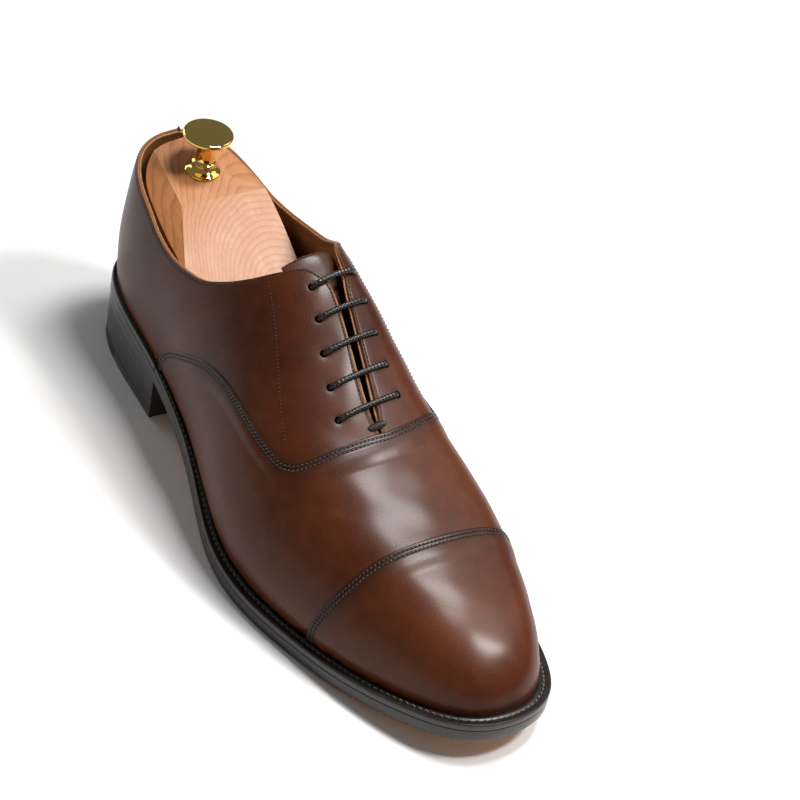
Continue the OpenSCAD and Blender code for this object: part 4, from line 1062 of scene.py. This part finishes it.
# ---- materials ----
class Nodes:
    """Short names for building a node tree."""

    def __init__(self, name):
        self.mat = bpy.data.materials.new(name)
        self.mat.use_nodes = True
        self.tree = self.mat.node_tree
        self.tree.nodes.clear()
        self.out = self.add("ShaderNodeOutputMaterial")
        self.bsdf = self.add("ShaderNodeBsdfPrincipled")
        self.link(self.bsdf.outputs[0], self.out.inputs[0])
        self.coord = self.add("ShaderNodeTexCoord").outputs["Object"]

    def add(self, kind, **values):
        node = self.tree.nodes.new(kind)
        for key, value in values.items():
            if hasattr(node, key):
                setattr(node, key, value)
            else:
                node.inputs[key.replace("_", " ")].default_value = value
        return node

    def link(self, a, b):
        self.tree.links.new(a, b)

    def stretched(self, scale, rotate=(0, 0, 0), at=(0, 0, 0)):
        m = self.add("ShaderNodeMapping", Scale=scale, Rotation=rotate, Location=at)
        self.link(self.coord, m.inputs["Vector"])
        return m.outputs[0]

    def noise(self, scale, detail=3.0, rough=0.5, vector=None):
        n = self.add("ShaderNodeTexNoise", Scale=scale, Detail=detail, Roughness=rough)
        self.link(vector or self.coord, n.inputs["Vector"])
        return n.outputs["Fac"]

    def cells(self, scale):
        n = self.add("ShaderNodeTexVoronoi", feature="SMOOTH_F1", Scale=scale, Smoothness=0.35)
        self.link(self.coord, n.inputs["Vector"])
        return n.outputs["Distance"]

    def ramp(self, value, stops):
        r = self.add("ShaderNodeValToRGB")
        els = r.color_ramp.elements
        while len(els) < len(stops):
            els.new(0.5)
        for e, (at, colour) in zip(els, stops):
            e.position = at
            e.color = tuple(colour) + (1,) if not isinstance(colour, float) else (colour, colour, colour, 1)
        self.link(value, r.inputs[0])
        return r.outputs[0]

    def mix(self, factor, a, b):
        m = self.add("ShaderNodeMix", data_type="RGBA")
        for value, socket in ((factor, m.inputs[0]), (a, m.inputs[6]), (b, m.inputs[7])):
            if hasattr(value, "is_output"):
                self.link(value, socket)
            elif isinstance(value, (int, float)):
                socket.default_value = value if socket.type == "VALUE" else (value, value, value, 1)
            else:
                socket.default_value = tuple(value) + (1,)
        return m.outputs[2]

    def math(self, op, a, b, clamp=False):
        m = self.add("ShaderNodeMath", operation=op, use_clamp=clamp)
        for value, socket in ((a, m.inputs[0]), (b, m.inputs[1])):
            if hasattr(value, "is_output"):
                self.link(value, socket)
            else:
                socket.default_value = value
        return m.outputs[0]

    def attribute(self, name):
        return self.add("ShaderNodeAttribute", attribute_name=name).outputs["Fac"]

    def bump(self, height, strength, distance, normal=None):
        b = self.add("ShaderNodeBump", Strength=strength, Distance=distance)
        self.link(height, b.inputs["Height"])
        if normal is not None:
            self.link(normal, b.inputs["Normal"])
        return b.outputs[0]

    def finish(self, colour=None, rough=None, normal=None, **fixed):
        for value, key in ((colour, "Base Color"), (rough, "Roughness"), (normal, "Normal")):
            if hasattr(value, "is_output"):
                self.link(value, self.bsdf.inputs[key])
            elif value is not None:
                self.bsdf.inputs[key].default_value = value if key == "Roughness" else (*value, 1)
        for key, value in fixed.items():
            self.bsdf.inputs[key.replace("_", " ")].default_value = value
        return self.mat


def leather_material(name, deep, mid, light, grain=0.35, gloss=(0.40, 0.52), coat=0.32,
                     edge=(0.012, 0.006, 0.004)):
    m = Nodes(name)
    broad = m.noise(14, 4, 0.55)
    fine = m.noise(160, 4, 0.6)
    mottle = m.math("ADD", m.math("MULTIPLY", broad, 0.75), m.math("MULTIPLY", fine, 0.25))
    colour = m.ramp(mottle, [(0.36, deep), (0.5, mid), (0.66, light)])
    pores = m.cells(1500)
    colour = m.mix(m.math("MULTIPLY", m.ramp(pores, [(0.0, 1.0), (0.35, 0.0)]), 0.35), colour, deep)
    # Darker towards the dark colour edge where the shade attribute is set: burnished darkening at seams and
    # borders, and painted shade in and round the eyelet and tack holes and over the whole tongue.
    colour = m.mix(m.math("MULTIPLY", m.attribute("shade"), 0.75, clamp=True), colour, edge)
    # Lighter tan where the edge attribute is set: the raw cut edge's own colour, partly a painted highlight
    # along it.
    colour = m.mix(m.math("MULTIPLY", m.attribute("edge"), 0.8, clamp=True), colour, (0.26, 0.105, 0.040))
    rough = m.math("ADD", m.math("MULTIPLY", m.noise(40, 4, 0.6), gloss[1] - gloss[0]), gloss[0])
    pebble = m.math("ADD", m.math("MULTIPLY", m.cells(1150), 0.7),
                    m.math("MULTIPLY", m.noise(2300, 2), 0.5))
    normal = m.bump(pebble, grain, 0.00018)
    normal = m.bump(m.noise(55, 3, 0.5), 0.10, 0.0012, normal)
    return m.finish(colour, rough, normal, IOR=1.45, Specular_IOR_Level=0.12, Coat_Weight=coat,
                    Coat_Roughness=0.23, Coat_IOR=1.45)


def lining_material(name, base, dark, rim_highlight_colour):
    m = Nodes(name)
    colour = m.ramp(m.noise(60, 5, 0.6), [(0.3, dark), (0.7, base)])
    # Painted highlight: lighter tan, broken up by noise, along the lining's top rim where the edge attribute
    # is set.
    rim_highlight = m.math("MULTIPLY", m.attribute("edge"), m.ramp(m.noise(900, 3), [(0.35, 0.2), (0.65, 1.0)]))
    colour = m.mix(rim_highlight, colour, rim_highlight_colour)
    normal = m.bump(m.math("ADD", m.cells(1400), m.noise(2500, 2)), 0.3, 0.0002)
    return m.finish(colour, 0.62, normal)


def thread_material(name, base, light, rough=0.45):
    m = Nodes(name)
    colour = m.ramp(m.noise(2600, 3, 0.6), [(0.3, base), (0.75, light)])
    return m.finish(colour, rough, m.bump(m.noise(3200, 2), 0.5, 0.0002), Sheen_Weight=0.1)


def lace_material():
    m = Nodes("waxed lace")
    colour = m.ramp(m.noise(1800, 3, 0.6), [(0.3, (0.005, 0.0038, 0.0034)), (0.75, (0.018, 0.012, 0.010))])
    return m.finish(colour, m.ramp(m.noise(700, 3), [(0.3, 0.28), (0.7, 0.45)]),
                    m.bump(m.noise(2600, 2), 0.35, 0.00012), Coat_Weight=0.15, Coat_Roughness=0.3)


def dressed_edge_material():
    """Leather edges stained black and burnished with wax, faint layers showing."""
    m = Nodes("burnished black edge")
    layers = m.noise(60, 4, 0.6, m.stretched((1, 1, 26)))
    colour = m.ramp(layers, [(0.3, (0.0075, 0.0062, 0.0058)), (0.7, (0.021, 0.018, 0.017))])
    rough = m.math("ADD", m.math("MULTIPLY", m.noise(90, 4), 0.22), 0.26)
    return m.finish(colour, rough, m.bump(m.noise(700, 3, 0.6, m.stretched((1, 1, 2.5))), 0.22, 0.0002),
                    Coat_Weight=0.25, Coat_Roughness=0.3)


def natural_leather_material(name, base, dark):
    m = Nodes(name)
    colour = m.ramp(m.math("ADD", m.math("MULTIPLY", m.noise(30, 5), 0.6),
                           m.math("MULTIPLY", m.noise(300, 3), 0.4)), [(0.35, dark), (0.65, base)])
    return m.finish(colour, 0.5, m.bump(m.noise(1100, 4), 0.25, 0.0002))


def cedar_material():
    """Sanded cedar: growth rings round an axis along the shoe, with pores, rays and sanding marks."""
    m = Nodes("sanded cedar")
    warp = m.add("ShaderNodeMix", data_type="VECTOR")
    base = m.stretched((0.30, 1, 1), (0.0, 0.02, 0.03), (0.0, -0.022, -0.060))
    noise = m.add("ShaderNodeTexNoise", Scale=18, Detail=2)
    m.link(m.stretched((0.35, 1, 1)), noise.inputs["Vector"])
    warp.inputs[0].default_value = 0.014
    m.link(base, warp.inputs[4])
    m.link(noise.outputs["Color"], warp.inputs[5])
    rings = m.add("ShaderNodeTexWave", wave_type="RINGS", rings_direction="X", wave_profile="SAW",
                  Scale=235, Distortion=3.2, Detail=2, Detail_Scale=0.5)
    m.link(warp.outputs[1], rings.inputs["Vector"])
    colour = m.ramp(rings.outputs["Fac"], [(0.0, (0.47, 0.195, 0.060)), (0.55, (0.43, 0.165, 0.050)),
                                           (0.85, (0.29, 0.095, 0.030)), (0.97, (0.44, 0.175, 0.055))])
    streak = m.noise(140, 4, 0.65, m.stretched((0.06, 1, 1)))
    colour = m.mix(m.ramp(streak, [(0.42, 0.0), (0.72, 0.55)]), colour, (0.52, 0.26, 0.11))
    fibre = m.noise(900, 3, 0.6, m.stretched((0.03, 1, 1)))
    colour = m.mix(m.ramp(fibre, [(0.30, 0.45), (0.50, 0.0)]), colour, (0.27, 0.10, 0.045))
    blush = m.noise(22, 2)
    colour = m.mix(m.math("MULTIPLY", blush, 0.35), colour, (0.50, 0.20, 0.085))
    height = m.math("ADD", m.math("MULTIPLY", rings.outputs["Fac"], 0.3), fibre)
    rough = m.ramp(streak, [(0.3, 0.38), (0.7, 0.52)])
    return m.finish(colour, rough, m.bump(height, 0.18, 0.00025), Coat_Weight=0.12, Coat_Roughness=0.35)


def metal_material(name, colour, rough, scratches=0.05):
    m = Nodes(name)
    tone = m.ramp(m.noise(90, 3), [(0.3, colour), (0.7, tuple(c * 0.93 for c in colour))])
    r = m.math("ADD", m.math("MULTIPLY", m.noise(500, 4, 0.7), scratches), rough)
    return m.finish(tone, r, m.bump(m.noise(60, 2), 0.02, 0.0004), Metallic=1.0)


def plain_material(name, a, b, scale, rough, bump=0.25):
    m = Nodes(name)
    colour = m.ramp(m.noise(scale, 4, 0.6), [(0.35, a), (0.65, b)])
    return m.finish(colour, rough, m.bump(m.noise(scale * 3, 3), bump, 0.0003))


MATERIALS = {
    "upper_leather": leather_material("burnished brown calf", (0.042, 0.0088, 0.0025),
                                      (0.070, 0.0155, 0.0042), (0.105, 0.026, 0.0075)),
    "tongue_leather": leather_material("tongue calf", (0.040, 0.012, 0.006), (0.075, 0.024, 0.012),
                                       (0.105, 0.036, 0.018)),
    "lining_leather": lining_material("tan lining", (0.27, 0.110, 0.034), (0.17, 0.062, 0.018),
                                      (0.38, 0.175, 0.065)),
    "stiffener_board": plain_material("leather board", (0.42, 0.33, 0.23), (0.55, 0.45, 0.33), 300, 0.8),
    "eyelet_brass": metal_material("eyelet brass", (0.70, 0.48, 0.18), 0.3),
    "dark_thread": thread_material("waxed dark thread", (0.010, 0.006, 0.005), (0.045, 0.028, 0.022), 0.38),
    "waxed_lace": lace_material(),
    "welt_thread_linen": thread_material("waxed linen thread", (0.050, 0.034, 0.024),
                                         (0.20, 0.15, 0.11), 0.5),
    "stained_edge_leather": dressed_edge_material(),
    "natural_leather": natural_leather_material("natural sole leather", (0.56, 0.30, 0.14),
                                                (0.42, 0.20, 0.085)),
    "cork": plain_material("granulated cork", (0.20, 0.11, 0.055), (0.46, 0.29, 0.16), 500, 0.85, 0.5),
    "steel": metal_material("plain steel", (0.48, 0.48, 0.50), 0.28),
    "heel_rubber": plain_material("heel rubber", (0.012, 0.012, 0.012), (0.022, 0.021, 0.021), 250, 0.6),
    "cedar": cedar_material(),
    "polished_brass": metal_material("polished brass", (0.88, 0.60, 0.17), 0.045, 0.03),
}


def piece(ob, slot, *nodes, body="shoe", material=None):
    ob.data.materials.clear()
    ob.data.materials.append(material or MATERIALS[slot])
    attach(ob, body)
    if nodes:
        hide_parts(*nodes)
    return ob


slot_of = {s["node"]: s["material_slot"] for s in frame["record"]["subparts"]}
for node_name, node in frame["nodes"].items():
    node.data.materials.clear()
    node.data.materials.append(MATERIALS[slot_of[node_name]])

piece(toe_cap, "upper_leather", "toe_cap")
piece(vamp, "upper_leather", "vamp")
piece(quarters[0], "upper_leather", "quarter_lateral")
piece(quarters[1], "upper_leather", "quarter_medial")
piece(linings[0], "lining_leather", "quarter_lining_lateral")
piece(linings[1], "lining_leather", "quarter_lining_medial")
piece(tongue, "tongue_leather", "tongue")
piece(cap_threads, "dark_thread", "cap_seam_thread")
piece(vamp_threads, "dark_thread", "vamp_seam_thread")
piece(facing_threads[0], "dark_thread", "facing_thread_lateral")
piece(facing_threads[1], "dark_thread", "facing_thread_medial")
piece(bar_tack, "dark_thread", "throat_bar_tack")
piece(lace, "waxed_lace", "lace")
piece(welt, "stained_edge_leather", "welt")
piece(rand, "stained_edge_leather", "heel_rand")
piece(welt_threads, "welt_thread_linen", "welt_thread")
piece(outsole, "stained_edge_leather", "outsole")
piece(seat_lift, "stained_edge_leather", "heel_seat_lift")
piece(lifts[0], "stained_edge_leather", "heel_lift_lower")
piece(lifts[1], "stained_edge_leather", "heel_lift_middle")
piece(lifts[2], "stained_edge_leather", "heel_lift_upper")
piece(top_piece, "natural_leather", "top_piece", material=MATERIALS["stained_edge_leather"])
piece(heel_tip, "heel_rubber", "heel_tip")
piece(nails, "eyelet_brass", "heel_nails")
piece(heel_wood, "cedar", "tree_heel_block", body="tree_heel")
piece(knob_base, "polished_brass", "tree_knob_base", body="tree_heel")
piece(knob, "polished_brass", "tree_knob", body="tree_heel")


def underside(ob, slot, z_limit=-0.9):
    """Gives the faces that look down their own finish, as on an undyed tread."""
    ob.data.materials.append(MATERIALS[slot])
    normals = np.zeros(len(ob.data.polygons) * 3)
    ob.data.polygons.foreach_get("normal", normals)
    index = (normals.reshape(-1, 3)[:, 2] < z_limit).astype(np.int32)
    ob.data.polygons.foreach_set("material_index", index)


underside(outsole, "natural_leather")
underside(top_piece, "natural_leather")

# ---- scene ----
TARGET = np.array([118.0, 31.9, 55.8])
AZIMUTH, ELEVATION, ROLL, DISTANCE = 51.08, 38.35, 13.17, 1253.0
FOCAL_PX, IMAGE_PX, SENSOR_MM = 3018.0, 800, 36.0


def camera():
    """Looks at the target from an azimuth and elevation in degrees, rolled about its own axis."""
    a, e, r = map(math.radians, (AZIMUTH, ELEVATION, ROLL))
    back = np.array([math.sin(a) * math.cos(e), -math.cos(a) * math.cos(e), math.sin(e)])
    right = np.array([math.cos(a), math.sin(a), 0.0])
    up = np.cross(back, right)
    right, up = right * math.cos(r) + up * math.sin(r), up * math.cos(r) - right * math.sin(r)
    cam = bpy.data.cameras.new("camera")
    cam.sensor_width, cam.lens = SENSOR_MM, FOCAL_PX / IMAGE_PX * SENSOR_MM
    cam.clip_end = 20
    ob = bpy.data.objects.new("camera", cam)
    collection.objects.link(ob)
    at = (TARGET + back * DISTANCE) * MM
    ob.matrix_world = Matrix([[right[k], up[k], back[k], at[k]] for k in range(3)] + [[0, 0, 0, 1]])
    bpy.context.scene.camera = ob


camera()


def area_light(name, direction, distance, size, power, colour=(1, 1, 1), size_y=None):
    """A softbox that faces the target, in metres and watts; direction is from the target to it."""
    lamp = bpy.data.lights.new(name, "AREA")
    lamp.energy, lamp.size, lamp.color = power, size, colour
    if size_y:
        lamp.shape, lamp.size_y = "RECTANGLE", size_y
    ob = bpy.data.objects.new(name, lamp)
    collection.objects.link(ob)
    d = Vector(unit(np.array(direction, float)))
    ob.location = Vector(TARGET * MM) + d * distance
    ob.rotation_euler = d.to_track_quat("Z", "Y").to_euler()


area_light("overhead softbox", (0.01, 0.24, 0.97), 1.3, 0.27, 14, (1.0, 0.99, 0.975), size_y=0.40)
area_light("toe light", (0.364, 0.377, 0.852), 1.31, 0.21, 11, (1.0, 0.99, 0.975))
area_light("right softbox", (0.0, 0.75, 0.66), 1.6, 0.8, 3)
area_light("back light", (-0.93, -0.25, 0.25), 1.6, 0.7, 4)

world = bpy.data.worlds.new("studio")
bpy.context.scene.world = world
world.use_nodes = True
world.node_tree.nodes["Background"].inputs[0].default_value = (1, 1, 1, 1)
world.node_tree.nodes["Background"].inputs[1].default_value = 0.17

bpy.ops.mesh.primitive_plane_add(size=12, location=(0.1, 0, 0))
floor = bpy.context.object
floor.name = "floor"
floor_look = Nodes("pale floor")
floor.data.materials.append(floor_look.finish((0.86, 0.86, 0.865), 0.55))
bpy.context.scene.view_settings.view_transform = "Standard"
bpy.context.scene.view_settings.look = "None"

bpy.context.view_layer.update()
